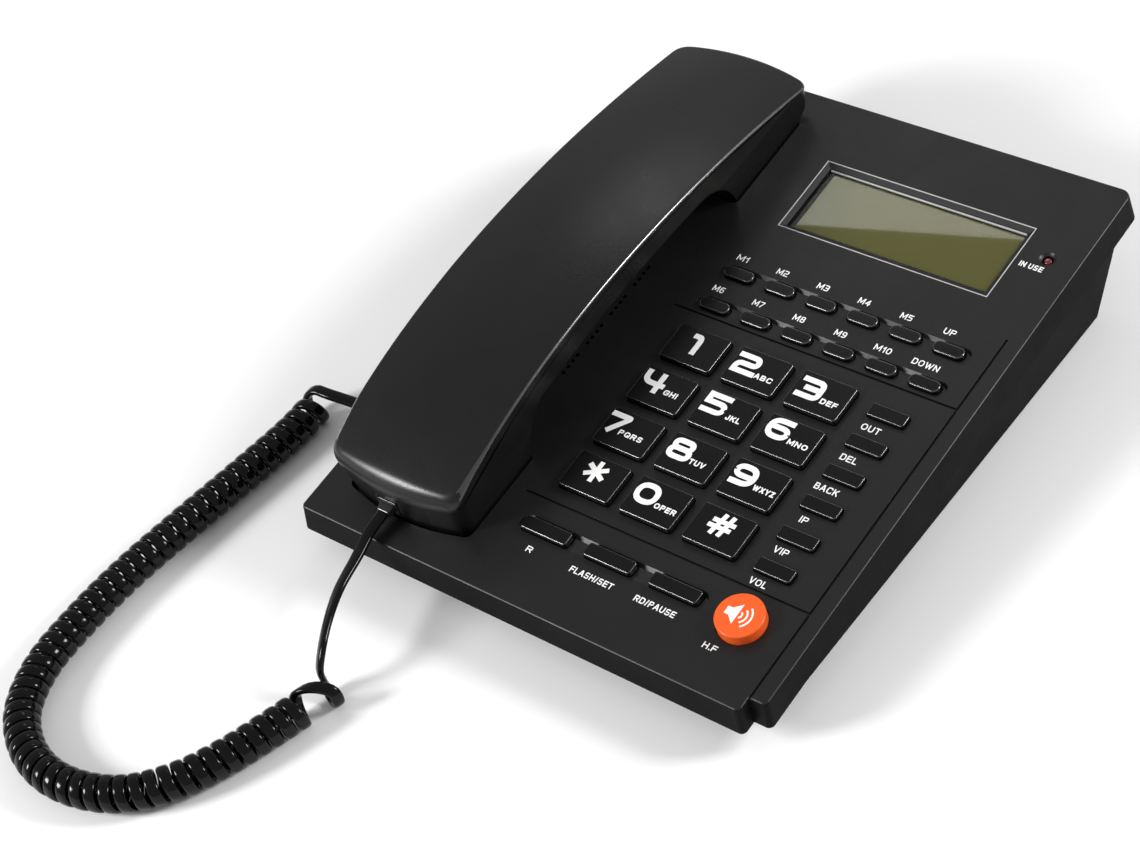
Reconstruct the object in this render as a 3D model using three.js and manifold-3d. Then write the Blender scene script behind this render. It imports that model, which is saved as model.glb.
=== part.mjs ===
// A desk telephone with a corded handset, a number display and a hands-free key.
// Units are millimetres and +Z is up. The origin is on the table, under the middle of the housing.
// The deck is the sloping face with the keys and the cradle. Its own frame has x to the right, y up
// the slope from the front edge and z square to the face, with z = 0 on the face.

import * as THREE from 'three';
import { mergeVertices } from 'three/addons/utils/BufferGeometryUtils.js';
import Module from 'manifold-3d';

const wasm = await Module();
wasm.setup();

// Common to all pieces
const fit = 0.3;            // gap between pieces that seat on each other
const overrun = 1;          // how far a cutter runs past the wall that it cuts
const corner_steps = 3;     // facets of a rounded housing corner

// Upper housing: the deck with its rim, stepped back at the front right
const deck_width = 186.5;
const deck_slope_degrees = 6;
const front_height = 19.5;    // front edge of the deck over the table
const plate = 2.2;            // wall of the deck
const rim_height = 10;
const rim_draft = 1;
const rim_wall = 2.4;
const edge_round = 0.7;
const front_corner = 2;
const rear_corner = 4;
const rail_width = 5.5;       // the strip right of the long groove
const rail_setback = 5.5;
const inner_corner = 18;      // inner walls cut this corner to clear the step
const groove_width = 0.8;
const groove_depth = 0.6;
const groove_long_end_share = 0.6855;
const groove_rear_y_share = 0.54884;
const groove_front_y_share = 0.17083;
const groove_start_share = 0.36997;

// Lower housing
const foot_gap_height = 2;    // underside over the table
const floor_wall = 2.2;
const side_inset = 4.5;
const front_inset = 8;
const rear_inset_top = 3;
const rear_inset_bottom = 17.5;
const knee_share = 0.69;      // height of the bend in the rear wall, up to the rim
const lip_height = 5;
const vent_length = 26;
const vent_width = 2.4;
const vent_pitch = 5.5;
const vent_count = 6;

// Feet
const foot_radius = 7;
const foot_inset = 15;
const foot_facets = 16;

// Screw posts under the deck, as shares of its width and depth
const post_radius = 3;
const post_bore = 1.2;
const post_bore_depth = 6;
const post_facets = 8;
const screw_clearance = 1.8;
const screw_recess = 3.4;
const screw_recess_depth = 1;
const post_place_shares = [[0.075, 0.27], [0.075, 0.692], [0.643, 0.06], [0.922, 0.71]];

// Dial keys: three columns and four rows, counted from the front left
const dial_size_x_share = 0.10885;
const dial_size_y_share = 0.06483;
const dial_pitch_x_share = 0.13405;
const dial_pitch_y_share = 0.08563;
const dial_left_share = 0.41823;
const dial_front_share = 0.19667;
const dial_proud = 2.3;

// Memory keys: two rows of six, each row in a shallow trough
const memory_size_x_share = 0.06166;
const memory_size_y_share = 0.02015;
const memory_pitch_x_share = 0.0889;
const memory_pitch_y_share = 0.0657;
const memory_left_share = 0.41421;
const memory_front_share = 0.55848;
const memory_proud = 1.4;

// Function keys in front of the dial, in a trough of their own
const function_size_x_share = 0.09973;
const function_size_y_share = 0.0219;
const function_pitch_x_share = 0.13861;
const function_left_share = 0.41126;
const function_front_share = 0.1117;
const function_proud = 2;

// Side keys in one column right of the dial
const side_size_x_share = 0.07399;
const side_size_y_share = 0.0219;
const side_pitch_y_share = 0.05804;
const side_left_share = 0.83271;
const side_front_share = 0.19711;
const side_proud = 1.5;

// Round hands-free key
const hands_free_x_share = 0.87453;
const hands_free_y_share = 0.12002;
const hands_free_radius = 8.2;
const hands_free_proud = 3.8;
const hands_free_facets = 20;

// What all keys share
const key_gap = 0.35;         // between a key and its opening
const key_lip = 1.2;          // flange that keeps a key under the deck
const key_lip_height = 1.5;
const key_travel = 1.5;
const key_round = 0.4;
const key_corner = 0.9;
const key_corner_steps = 1;
const stadium_steps = 2;

// Troughs are deepest along their rear edge and run out level with the deck in front
const trough_depth = 1;
const trough_length = 6.4;
const trough_rear = 1.3;        // behind the keys
const trough_side = 2;        // past the outer keys
const trough_corner = 3;

// Display
const bezel_left_share = 0.44182;
const bezel_front_share = 0.74354;
const bezel_size_x_share = 0.4429;
const bezel_size_y = 32;
const bezel_margin = 1.9;
const bezel_depth = 1.2;
const window_drop = 1.4;      // window surface under the deck
const panel_height = 2.4;
const panel_overlap = 1.5;     // display panel past the edge of its opening

// Line lamp in its dimple
const lamp_x_share = 0.93941;
const lamp_y_share = 0.83925;
const lamp_radius = 1.6;
const lamp_dome = 1.1;
const lamp_facets = 10;
const dimple_sphere = 4;
const dimple_depth = 1.3;
const dimple_facets = 12;

// Key membrane and circuit board
const membrane_margin = 1.6;  // past the lips of the outer keys
const membrane_height = 1.2;
const board_side = 6.6;       // board past the membrane, left and right
const board_rear = 6;
const board_height = 1.6;
const board_post_radius = 2.2;

// Loudspeaker under its grille of groups of holes
const speaker_radius = 25;
const speaker_depth = 16;
const speaker_flange = 1.6;
const speaker_basket = 21.5;
const speaker_magnet_radius = 12;
const speaker_magnet_height = 6;
const speaker_cone_radius = 20;
const speaker_cone_depth = 5;
const speaker_cap_radius = 7;
const speaker_cap_height = 2;
const speaker_facets = 16;
const grille_left_share = 0.13727;
const grille_front_share = 0.371;
const grille_pitch_x_share = 0.0445;
const grille_group_pitch_share = 0.06176;
const grille_hole_pitch_share = 0.01205;
const grille_hole_radius = 0.75;
const grille_columns = 4;
const grille_groups = 4;
const grille_group_holes = 4;
const grille_facets = 6;

// Handset, at rest in its cradle, in the deck frame
const handset_x_share = 0.19571;
const handset_width_share = 0.30027;
const handset_near = 10.5;
const handset_length = 214.5;
const handset_rear_margin = 3.3; // deck behind the handset
const handset_bow = 4.2;      // how far the ends curve back towards their corners
const handset_corner = 5;
const handset_wall = 2;
const handset_crown = 2;
const handset_edge_round = 2.6;
const handset_stations = 14;
const handset_foot_width_share = 0.2681;
const handset_foot_setback = 1.6;
const handset_draft_height = 14;

// Long curves of the handset over the deck: the top edge and the seam between its shells
const top_near_height = 17;
const top_near_pull = 37;
const top_far_pull = 36;
const top_far_height = 12;
const seam_near_height = 15;
const seam_near_pull = 28.5;
const seam_far_pull = 33;
const seam_far_height = 10.5;
const pull_place_shares = [0.23, 0.6];

// Inner shell: two cups that sink into the deck, with the arch of the grip between them
const cup_seat = 3.5;
const cup_round = 3;
const mouth_cup_length = 37.9;
const ear_cup_length = 38.3;
const ear_cup_draft = 1;
const ear_cup_setback = 13;   // slanted end past the ear cup
const far_edge = 1.2;         // blunt edge of the inner shell at the far end
const grip_depth = 6.5;
const grip_round = 2;
const mouth_arch_run = 14;
const ear_arch_run = 20;
const arch_steps = 4;

// Cradle wells in the deck
const well_gap = 1.4;
const well_corner = 2;
const well_wall = 2;

// Hook plunger in the ear well
const hook_size_x = 11.4;
const hook_size_y = 6.4;
const hook_inset = 6.5;       // past the near end of the ear cup
const hook_corner = 1.2;
const hook_travel = 4;
const hook_flange = 2;
const hook_flange_height = 1.5;
const hook_sleeve_wall = 1.4;
const hook_sleeve_height = 4;

// Capsules and sound holes in the cups
const receiver_share = 0.4047;  // its radius, of the cup's length
const receiver_height = 7;
const receiver_gap = 1.3;      // to the far wall of its cup
const microphone_radius = 5;
const microphone_height = 6;
const microphone_gap = 1.4;    // behind the handset's socket
const capsule_round = 1;
const capsule_facets = 16;
const sound_hole_radius = 1;
const sound_facets = 6;
const ear_holes = 6;
const ear_ring_radius = 5;
const mouth_holes = 3;
const mouth_ring_radius = 2.8;

// Modular sockets with their plugs, and the larger line socket
const socket_width = 11.2;
const socket_height = 9;
const socket_length = 13;
const plug_width = 7.6;
const plug_height = 5.8;
const plug_length = 11;
const plug_gap = 0.4;
const plug_proud = 0.5;
const clip_width = 3.6;
const clip_height = 1;
const handset_socket_x_share = 0.17694;
const handset_socket_z = 4.9;
const base_socket_gap = 0.04;   // in front of the first screw post
const base_socket_z = 9.2;
const line_socket_width = 13;
const line_socket_height = 11;
const line_socket_length = 14;
const line_plug_width = 9.6;
const line_plug_height = 6.6;
const line_plug_length = 11;
const line_socket_x_share = 0.69705;
const line_socket_share = 0.5;  // place up the slanted part of the rear wall

// Ringer switch in the left wall
const switch_y_share = 0.65703;
const switch_z = 14;
const switch_travel = 3.5;    // to either side
const switch_knob_length = 4;
const switch_knob_height = 3.2;
const switch_proud = 1.5;
const switch_plate_length = 18;
const switch_plate_height = 8;
const switch_plate = 1.5;

// Curly cord. Its curls are wound round an axis that lies over the table, from the far end at the
// base's lead to the near end at the handset's lead. Routes are in the frame of the whole phone.
const cord_width = 4.4;
const cord_thickness = 2.4;
const curl_width = 3.7;       // drawn narrower than the cord, to keep the curls apart in the bends
const coil_radius = 5.1;      // to the middle of the cord
const coil_floor_gap = 0.1;
const coil_turns = 57.75;
const coil_steps = 8;
const coil_sides = 5;
const coil_slack_turns = 1.5; // the first and last turns lie further apart
const far_slack_share = 0.4;
const near_slack_share = 0.9;
const lead_facets = 8;
const lead_step = 9;
const coil_route = [
  [-131.8, -64], [-131.2, -80], [-133.6, -106.2], [-136.9, -134.2], [-139.2, -158],
  [-139.3, -182], [-136.8, -203], [-129, -219.3], [-117, -229], [-102.5, -233.4],
  [-87, -232], [-73, -225.6], [-61.8, -213.6], [-54.3, -199.5], [-48.8, -184.5],
  [-44.8, -171.8], [-41.6, -161.5],
];
const base_lead_route = [[-107.5, -60.8, 9.3], [-118, -62.2, 10.4]];
const handset_lead_route = [
  [-60.8, -113, 23.2], [-59, -122.5, 21.4], [-56.2, -135.5, 20], [-51.4, -147, 19],
  [-47.6, -155.6, 16],
];

// The deck is as deep as the handset with a margin at either end
const deck_depth = handset_near + handset_length + handset_rear_margin;

// Places and sizes of the layout, from the deck's width and depth
const groove_start = groove_start_share * deck_width;
const dial_size_x = dial_size_x_share * deck_width;
const dial_pitch_x = dial_pitch_x_share * deck_width;
const dial_left = dial_left_share * deck_width;
const memory_size_x = memory_size_x_share * deck_width;
const memory_pitch_x = memory_pitch_x_share * deck_width;
const memory_left = memory_left_share * deck_width;
const function_size_x = function_size_x_share * deck_width;
const function_pitch_x = function_pitch_x_share * deck_width;
const function_left = function_left_share * deck_width;
const side_size_x = side_size_x_share * deck_width;
const side_left = side_left_share * deck_width;
const hands_free_x = hands_free_x_share * deck_width;
const bezel_left = bezel_left_share * deck_width;
const bezel_size_x = bezel_size_x_share * deck_width;
const lamp_x = lamp_x_share * deck_width;
const grille_left = grille_left_share * deck_width;
const grille_pitch_x = grille_pitch_x_share * deck_width;
const handset_x = handset_x_share * deck_width;
const handset_width = handset_width_share * deck_width;
const handset_foot_width = handset_foot_width_share * deck_width;
const handset_socket_x = handset_socket_x_share * deck_width;
const line_socket_x = line_socket_x_share * deck_width;
const groove_long_end = groove_long_end_share * deck_depth;
const groove_rear_y = groove_rear_y_share * deck_depth;
const groove_front_y = groove_front_y_share * deck_depth;
const dial_size_y = dial_size_y_share * deck_depth;
const dial_pitch_y = dial_pitch_y_share * deck_depth;
const dial_front = dial_front_share * deck_depth;
const memory_size_y = memory_size_y_share * deck_depth;
const memory_pitch_y = memory_pitch_y_share * deck_depth;
const memory_front = memory_front_share * deck_depth;
const function_size_y = function_size_y_share * deck_depth;
const function_front = function_front_share * deck_depth;
const side_size_y = side_size_y_share * deck_depth;
const side_pitch_y = side_pitch_y_share * deck_depth;
const side_front = side_front_share * deck_depth;
const hands_free_y = hands_free_y_share * deck_depth;
const bezel_front = bezel_front_share * deck_depth;
const lamp_y = lamp_y_share * deck_depth;
const grille_front = grille_front_share * deck_depth;
const grille_group_pitch = grille_group_pitch_share * deck_depth;
const grille_hole_pitch = grille_hole_pitch_share * deck_depth;
const switch_y = switch_y_share * deck_depth;

// Finishes
const black_plastic = new THREE.MeshStandardMaterial({ color: 0x17171a, roughness: 0.5, metalness: 0 });
const key_plastic = new THREE.MeshStandardMaterial({ color: 0x151517, roughness: 0.42, metalness: 0 });
const orange_plastic = new THREE.MeshStandardMaterial({ color: 0xff6a26, roughness: 0.4, metalness: 0 });
const clear_plastic = new THREE.MeshStandardMaterial({ color: 0xdfe0d0, roughness: 0.08, metalness: 0 });
const display_glass = new THREE.MeshStandardMaterial({ color: 0x68663f, roughness: 0.25, metalness: 0 });
const lamp_plastic = new THREE.MeshStandardMaterial({ color: 0x7a1016, roughness: 0.15, metalness: 0 });
const cord_vinyl = new THREE.MeshStandardMaterial({ color: 0x0c0c0d, roughness: 0.22, metalness: 0 });
const foot_rubber = new THREE.MeshStandardMaterial({ color: 0x202022, roughness: 0.85, metalness: 0 });
const board_resin = new THREE.MeshStandardMaterial({ color: 0x2f5a34, roughness: 0.5, metalness: 0 });
const grey_rubber = new THREE.MeshStandardMaterial({ color: 0x9a9a96, roughness: 0.7, metalness: 0 });
const magnet_steel = new THREE.MeshStandardMaterial({ color: 0x8a8a8c, roughness: 0.4, metalness: 0.9 });
const plug_plastic = new THREE.MeshStandardMaterial({ color: 0x1c1c1e, roughness: 0.3, metalness: 0 });

// Solids

// A closed geometry becomes a solid that can be cut and joined.
function solid(geometry) {
  const bare = geometry.clone();
  bare.deleteAttribute('normal');
  bare.deleteAttribute('uv');
  const merged = mergeVertices(bare);
  const index = merged.index.array;
  const triangles = [];
  for (let first = 0; first < index.length; first += 3) {
    const [a, b, c] = index.slice(first, first + 3);
    if (a !== b && b !== c && c !== a) {
      triangles.push(a, b, c);
    }
  }
  return new wasm.Manifold(new wasm.Mesh({
    numProp: 3,
    vertProperties: new Float32Array(merged.attributes.position.array),
    triVerts: new Uint32Array(triangles),
  }));
}

const cut = (body, cutters) => cutters.reduce((rest, cutter) => rest.subtract(cutter), body);
const join = (bodies) => bodies.reduce((whole, body) => whole.add(body));

function piece(name, body, material) {
  const mesh = body.getMesh();
  const geometry = new THREE.BufferGeometry();
  geometry.setAttribute('position', new THREE.BufferAttribute(new Float32Array(mesh.vertProperties), 3));
  geometry.setIndex(new THREE.BufferAttribute(new Uint32Array(mesh.triVerts), 1));
  geometry.computeVertexNormals();
  const part = new THREE.Mesh(geometry, material);
  part.name = name;
  return part;
}

// Outline from corners [x, y, radius], counterclockwise, each a right angle.
function roundedOutline(corners, steps = corner_steps) {
  return corners.flatMap(([x, y, radius], index) => {
    const corner = new THREE.Vector2(x, y);
    if (radius === 0) {
      return [corner];
    }
    const before = new THREE.Vector2(...corners[(index + corners.length - 1) % corners.length]);
    const after = new THREE.Vector2(...corners[(index + 1) % corners.length]);
    const back = before.sub(corner).normalize().multiplyScalar(radius);
    const ahead = after.sub(corner).normalize().multiplyScalar(radius);
    return Array.from({ length: steps + 1 }, (unused, step) => {
      const angle = (Math.PI / 2) * (step / steps);
      return corner.clone()
        .addScaledVector(ahead, 1 - Math.cos(angle))
        .addScaledVector(back, 1 - Math.sin(angle));
    });
  });
}

function rectangle(left, right, front, rear, radius, steps) {
  const places = [[left, front], [right, front], [right, rear], [left, rear]];
  return roundedOutline(places.map(([x, y]) => [x, y, radius]), steps);
}

function circle(x, y, radius, facets) {
  return Array.from({ length: facets }, (unused, index) => {
    const angle = (2 * Math.PI * (index + 0.5)) / facets;
    return new THREE.Vector2(x + radius * Math.cos(angle), y + radius * Math.sin(angle));
  });
}

const atHeight = (outline, z) => outline.map((point) => new THREE.Vector3(point.x, point.y, z));

// The triangles that close a ring, wound the same way as the ring.
function capTriangles(ring) {
  const normal = new THREE.Vector3();
  ring.forEach((point, index) => {
    normal.add(new THREE.Vector3().crossVectors(point, ring[(index + 1) % ring.length]));
  });
  const sizes = normal.toArray().map(Math.abs);
  const main = sizes.indexOf(Math.max(...sizes));
  const [first, second] = [['y', 'z'], ['z', 'x'], ['x', 'y']][main];
  const facing = normal.getComponent(main) > 0;
  const flat = ring.map((point) => (facing
    ? new THREE.Vector2(point[first], point[second])
    : new THREE.Vector2(point[second], point[first])));
  return THREE.ShapeUtils.triangulateShape(flat, []);
}

// A closed skin over rings of equal length, each counterclockwise as seen from the last ring.
function loft(rings) {
  const count = rings[0].length;
  const indices = [];
  for (let row = 0; row < rings.length - 1; row += 1) {
    for (let step = 0; step < count; step += 1) {
      const a = row * count + step;
      const b = row * count + ((step + 1) % count);
      indices.push(a, b, b + count, a, b + count, a + count);
    }
  }
  const last = (rings.length - 1) * count;
  capTriangles(rings[0]).forEach(([a, b, c]) => indices.push(a, c, b));
  capTriangles(rings[rings.length - 1]).forEach(([a, b, c]) => indices.push(last + a, last + b, last + c));
  const geometry = new THREE.BufferGeometry().setFromPoints(rings.flat());
  return geometry.setIndex(indices);
}

const lofted = (rings) => solid(loft(rings));
const prism = (outline, low, high) => lofted([atHeight(outline, low), atHeight(outline, high)]);

function block(left, right, front, rear, low, high) {
  return prism(rectangle(left, right, front, rear, 0), low, high);
}

// A solid of revolution about an upright axis, from [radius, z] points that start and end on it.
function revolved(profile, x, y, facets) {
  const points = profile.map(([radius, z]) => new THREE.Vector2(radius, z));
  return solid(new THREE.LatheGeometry(points, facets).rotateX(Math.PI / 2).translate(x, y, 0));
}

function grid(columns, rows, place) {
  return Array.from({ length: columns * rows }, (unused, index) => (
    place(index % columns, Math.floor(index / columns))));
}

// Deck frame

const deck_tilt = THREE.MathUtils.degToRad(deck_slope_degrees);
const deck_run = deck_depth * Math.cos(deck_tilt);    // depth of the deck seen from above

const base = new THREE.Group();
base.position.set(-deck_width / 2, -deck_run / 2, 0);
const deck = new THREE.Group();
deck.position.z = front_height;
deck.rotation.x = deck_tilt;
base.add(deck);
base.updateMatrixWorld(true);

const deck_from_base = deck.matrix.clone().invert();

// Height over the table of a plane parallel to the deck, at a depth y of the housing
const planeHeight = (y, z) => front_height + y * Math.tan(deck_tilt) + z / Math.cos(deck_tilt);
const atPlane = (outline, z) => outline.map((point) => (
  new THREE.Vector3(point.x, point.y, planeHeight(point.y, z))));

// Keys

const key_lip_top = -(plate + fit);
const key_low = key_lip_top - key_lip_height;

function keyPlan(left, front, sizeX, sizeY, radius, steps) {
  return (grow) => rectangle(
    left - grow, left + sizeX + grow, front - grow, front + sizeY + grow, radius + grow, steps);
}

function keyRow(names, left, front, pitchX, sizeX, sizeY, proud) {
  return names.map((name, column) => ({
    name,
    proud,
    plan: keyPlan(left + column * pitchX, front, sizeX, sizeY, key_corner, key_corner_steps),
    material: key_plastic,
  }));
}

const dial_keys = [
  ['key_star', 'key_0', 'key_hash'],
  ['key_7', 'key_8', 'key_9'],
  ['key_4', 'key_5', 'key_6'],
  ['key_1', 'key_2', 'key_3'],
].flatMap((names, row) => keyRow(
  names, dial_left, dial_front + row * dial_pitch_y, dial_pitch_x, dial_size_x, dial_size_y, dial_proud));

const memory_rows = [
  ['key_m6', 'key_m7', 'key_m8', 'key_m9', 'key_m10', 'key_down'],
  ['key_m1', 'key_m2', 'key_m3', 'key_m4', 'key_m5', 'key_up'],
];
const memory_right = memory_left + (memory_rows[0].length - 1) * memory_pitch_x + memory_size_x;

const memory_keys = memory_rows.flatMap((names, row) => names.map((name, column) => ({
  name,
  proud: memory_proud,
  plan: keyPlan(
    memory_left + column * memory_pitch_x, memory_front + row * memory_pitch_y,
    memory_size_x, memory_size_y, memory_size_y / 2 - key_round / 2, stadium_steps),
  material: key_plastic,
})));

const function_names = ['key_r', 'key_flash', 'key_redial'];
const function_right = (
  function_left + (function_names.length - 1) * function_pitch_x + function_size_x);

const function_keys = keyRow(
  function_names,
  function_left, function_front, function_pitch_x, function_size_x, function_size_y, function_proud);

const side_keys = ['key_vol', 'key_vip', 'key_ip', 'key_back', 'key_del', 'key_out']
  .flatMap((name, row) => keyRow(
    [name], side_left, side_front + row * side_pitch_y, 0, side_size_x, side_size_y, side_proud));

const hands_free_key = {
  name: 'key_hands_free',
  proud: hands_free_proud,
  plan: (grow) => circle(hands_free_x, hands_free_y, hands_free_radius + grow, hands_free_facets),
  material: orange_plastic,
};

const keys = [...dial_keys, ...memory_keys, ...function_keys, ...side_keys, hands_free_key];

// The cap above the deck, its shank in the opening and the lip under the deck
function keyPiece(key) {
  const body = lofted([
    atHeight(key.plan(key_lip), key_low),
    atHeight(key.plan(key_lip), key_lip_top),
    atHeight(key.plan(0), key_lip_top),
    atHeight(key.plan(0), key.proud - key_round),
    atHeight(key.plan(-key_round), key.proud),
  ]);
  return piece(key.name, body, key.material);
}

// Display, lamp, membrane and board under the deck

function bezelPlan(grow) {
  const right = bezel_left + bezel_size_x;
  const rear = bezel_front + bezel_size_y;
  return rectangle(bezel_left - grow, right + grow, bezel_front - grow, rear + grow, 0);
}

const windowPlan = (grow) => bezelPlan(grow - bezel_margin);

// The window is flush with the underside of the deck and lies on the display panel
const displayWindow = () => prism(windowPlan(-fit), -plate, -window_drop);
const panel_top = -(plate + fit);
const lcdPanel = () => prism(windowPlan(panel_overlap), panel_top - panel_height, panel_top);

function displayCutters() {
  const pocket = lofted([
    atHeight(bezelPlan(-bezel_margin), -bezel_depth),
    atHeight(bezelPlan(0), 0),
    atHeight(bezelPlan(0), overrun),
  ]);
  return [pocket, prism(windowPlan(0), -plate - overrun, overrun)];
}

function inUseLamp() {
  return revolved([
    [0, key_low], [lamp_radius + key_lip, key_low], [lamp_radius + key_lip, key_lip_top],
    [lamp_radius, key_lip_top], [lamp_radius, -dimple_depth],
    [lamp_radius * Math.SQRT1_2, -dimple_depth + lamp_dome * Math.SQRT1_2],
    [0, -dimple_depth + lamp_dome],
  ], lamp_x, lamp_y, lamp_facets);
}

function lampCutters() {
  const sphere = new THREE.SphereGeometry(dimple_sphere, dimple_facets, dimple_facets);
  sphere.rotateX(Math.PI / 2).translate(lamp_x, lamp_y, dimple_sphere - dimple_depth);
  const hole = circle(lamp_x, lamp_y, lamp_radius + key_gap, lamp_facets);
  return [solid(sphere), prism(hole, -plate - overrun, overrun)];
}

const membrane_top = key_low - key_travel - fit;
const membrane_low = membrane_top - membrane_height;
const membrane_left = function_left - key_lip - membrane_margin / 2;
const membrane_right = memory_right + key_lip + membrane_margin / 2;
const membrane_front = hands_free_y - hands_free_radius - key_lip - membrane_margin / 2;
const membrane_rear = memory_front + memory_pitch_y + memory_size_y + key_lip + membrane_margin;
const board_top = membrane_low - fit;
const board_low = board_top - board_height;
const board_left = membrane_left - board_side;
const board_right = membrane_right + board_side;
const board_rear_y = membrane_rear + board_rear;

const keyMembrane = () => block(
  membrane_left, membrane_right, membrane_front, membrane_rear, membrane_low, membrane_top);
const mainBoard = () => block(
  board_left, board_right, membrane_front, board_rear_y, board_low, board_top);

// Studs that the board hangs from, outside the membrane
function boardPosts() {
  const inset = board_side / 2;
  return grid(2, 2, (column, row) => {
    const x = column ? board_right - inset : board_left + inset;
    const y = row ? board_rear_y - inset : membrane_front + inset;
    return prism(circle(x, y, board_post_radius, post_facets), board_top + fit, -plate / 2);
  });
}

// Loudspeaker

const grille_middle_x = grille_left + ((grille_columns - 1) * grille_pitch_x) / 2;
const grille_span_y = (grille_groups - 1) * grille_group_pitch + (grille_group_holes - 1) * grille_hole_pitch;
const grille_middle_y = grille_front + grille_span_y / 2;

function loudspeaker() {
  const top = key_lip_top;
  const low = top - speaker_depth;
  return revolved([
    [0, low], [speaker_magnet_radius, low], [speaker_magnet_radius, low + speaker_magnet_height],
    [speaker_basket, top - 2 * speaker_flange], [speaker_basket, top - speaker_flange],
    [speaker_radius, top - speaker_flange], [speaker_radius, top], [speaker_cone_radius, top],
    [speaker_cap_radius, top - speaker_cone_depth], [0, top - speaker_cone_depth + speaker_cap_height],
  ], grille_middle_x, grille_middle_y, speaker_facets);
}

function grilleCutters() {
  return grid(grille_columns, grille_groups * grille_group_holes, (column, row) => {
    const group = Math.floor(row / grille_group_holes);
    const hole = row % grille_group_holes;
    const x = grille_left + column * grille_pitch_x;
    const y = grille_front + group * grille_group_pitch + hole * grille_hole_pitch;
    return prism(circle(x, y, grille_hole_radius, grille_facets), -plate - overrun, overrun);
  });
}

// Cradle wells and hook plunger

const handset_far = handset_near + handset_length;
const mouth_cup_start = handset_near + handset_foot_setback;
const mouth_cup_end = mouth_cup_start + mouth_cup_length;
const ear_cup_end = handset_far - ear_cup_setback;
const ear_cup_start = ear_cup_end - ear_cup_length;
const hook_y = ear_cup_start + hook_inset;
const receiver_radius = receiver_share * ear_cup_length;
const receiver_y = ear_cup_end - handset_wall - receiver_gap - receiver_radius;
const handset_socket_y = handset_near + handset_foot_setback / 2 + fit;
const microphone_y = handset_socket_y + socket_length + microphone_gap + microphone_radius;
const well_floor = -(cup_seat + fit);
const tub_low = well_floor - well_wall;

function wellPlan(cupStart, cupEnd, grow) {
  const half = handset_foot_width / 2 + well_gap + grow;
  const front = cupStart - well_gap - grow;
  const rear = cupEnd + well_gap + grow;
  return rectangle(handset_x - half, handset_x + half, front, rear, well_corner + grow);
}

const wells = [[mouth_cup_start, mouth_cup_end], [ear_cup_start, ear_cup_end + ear_cup_draft]];
const wellTubs = () => wells.map(([start, end]) => (
  prism(wellPlan(start, end, well_wall), tub_low, -plate / 2)));
const wellCutters = () => wells.map(([start, end]) => (
  prism(wellPlan(start, end, 0), well_floor, overrun)));

const hookPlan = (grow) => rectangle(
  handset_x - hook_size_x / 2 - grow, handset_x + hook_size_x / 2 + grow,
  hook_y - hook_size_y / 2 - grow, hook_y + hook_size_y / 2 + grow, hook_corner + grow, key_corner_steps);
const sleeve_low = tub_low - hook_sleeve_height;
const hook_flange_top = sleeve_low - fit - hook_travel;

const hookSleeve = () => prism(hookPlan(fit + hook_sleeve_wall), sleeve_low, tub_low + well_wall / 2);
const hookCutter = () => prism(hookPlan(fit), sleeve_low - overrun, well_floor + overrun);

function hookPlunger() {
  return lofted([
    atHeight(hookPlan(hook_flange), hook_flange_top - hook_flange_height),
    atHeight(hookPlan(hook_flange), hook_flange_top),
    atHeight(hookPlan(0), hook_flange_top),
    atHeight(hookPlan(0), well_floor - key_round),
    atHeight(hookPlan(-key_round), well_floor),
  ]);
}

// Screw posts reach down to the floor of the lower housing

const floor_top = foot_gap_height + floor_wall;
const post_places = post_place_shares.map(([x, y]) => [x * deck_width, y * deck_depth]);
const base_socket_y = post_places[0][1] - post_radius - base_socket_gap - socket_width / 2;

function screwPosts() {
  return post_places.map(([x, y]) => {
    const outline = circle(x, y, post_radius, post_facets);
    const post = loft([atHeight(outline, floor_top + fit), atPlane(outline, -plate / 2)]);
    return solid(post.applyMatrix4(deck_from_base));
  });
}

function screwBores() {
  return post_places.map(([x, y]) => {
    const outline = circle(x, y, post_bore, post_facets);
    const low = floor_top + fit;
    const bore = loft([atHeight(outline, low - overrun), atHeight(outline, low + post_bore_depth)]);
    return solid(bore.applyMatrix4(deck_from_base));
  });
}

// Upper housing

const plate_right = deck_width - rail_width - groove_width;

function deckOutline(grow) {
  const right = deck_width + grow;
  const rear = deck_depth + grow;
  return roundedOutline([
    [-grow, -grow, front_corner],
    [plate_right + grow, -grow, front_corner],
    [plate_right + grow, rail_setback - grow, 0],
    [right, rail_setback - grow, front_corner],
    [right, rear, rear_corner],
    [-grow, rear, rear_corner],
  ]);
}

function cavityOutline(inset) {
  const right = deck_width - inset;
  const rear = deck_depth - inset;
  return roundedOutline([
    [inset, inset, front_corner], [right, inset, inner_corner],
    [right, rear, rear_corner], [inset, rear, rear_corner],
  ]);
}

// The rim draws straight down, so its rings move forward as they go down the tilted frame.
function rimRing(outline, z) {
  const shift = z * Math.tan(deck_tilt);
  return outline.map((point) => new THREE.Vector3(point.x, point.y + shift, z));
}

function rimCavity() {
  const low = -rim_height - overrun;
  const draft = rim_draft / rim_height;
  return lofted([
    rimRing(cavityOutline(rim_wall + draft * low), low),
    rimRing(cavityOutline(rim_wall - draft * plate), -plate),
  ]);
}

function troughCutter(left, right, rear) {
  const front = rear - trough_length;
  const outline = rectangle(left - trough_side, right + trough_side, front, rear, trough_corner);
  const floor = outline.map((point) => (
    new THREE.Vector3(point.x, point.y, (-trough_depth * (point.y - front)) / trough_length)));
  return lofted([floor, atHeight(outline, overrun)]);
}

function troughCutters() {
  const memoryRear = memory_front + memory_size_y + trough_rear;
  return [
    troughCutter(memory_left, memory_right, memoryRear),
    troughCutter(memory_left, memory_right, memoryRear + memory_pitch_y),
    troughCutter(function_left, function_right, function_front + function_size_y + trough_rear),
  ];
}

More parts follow.
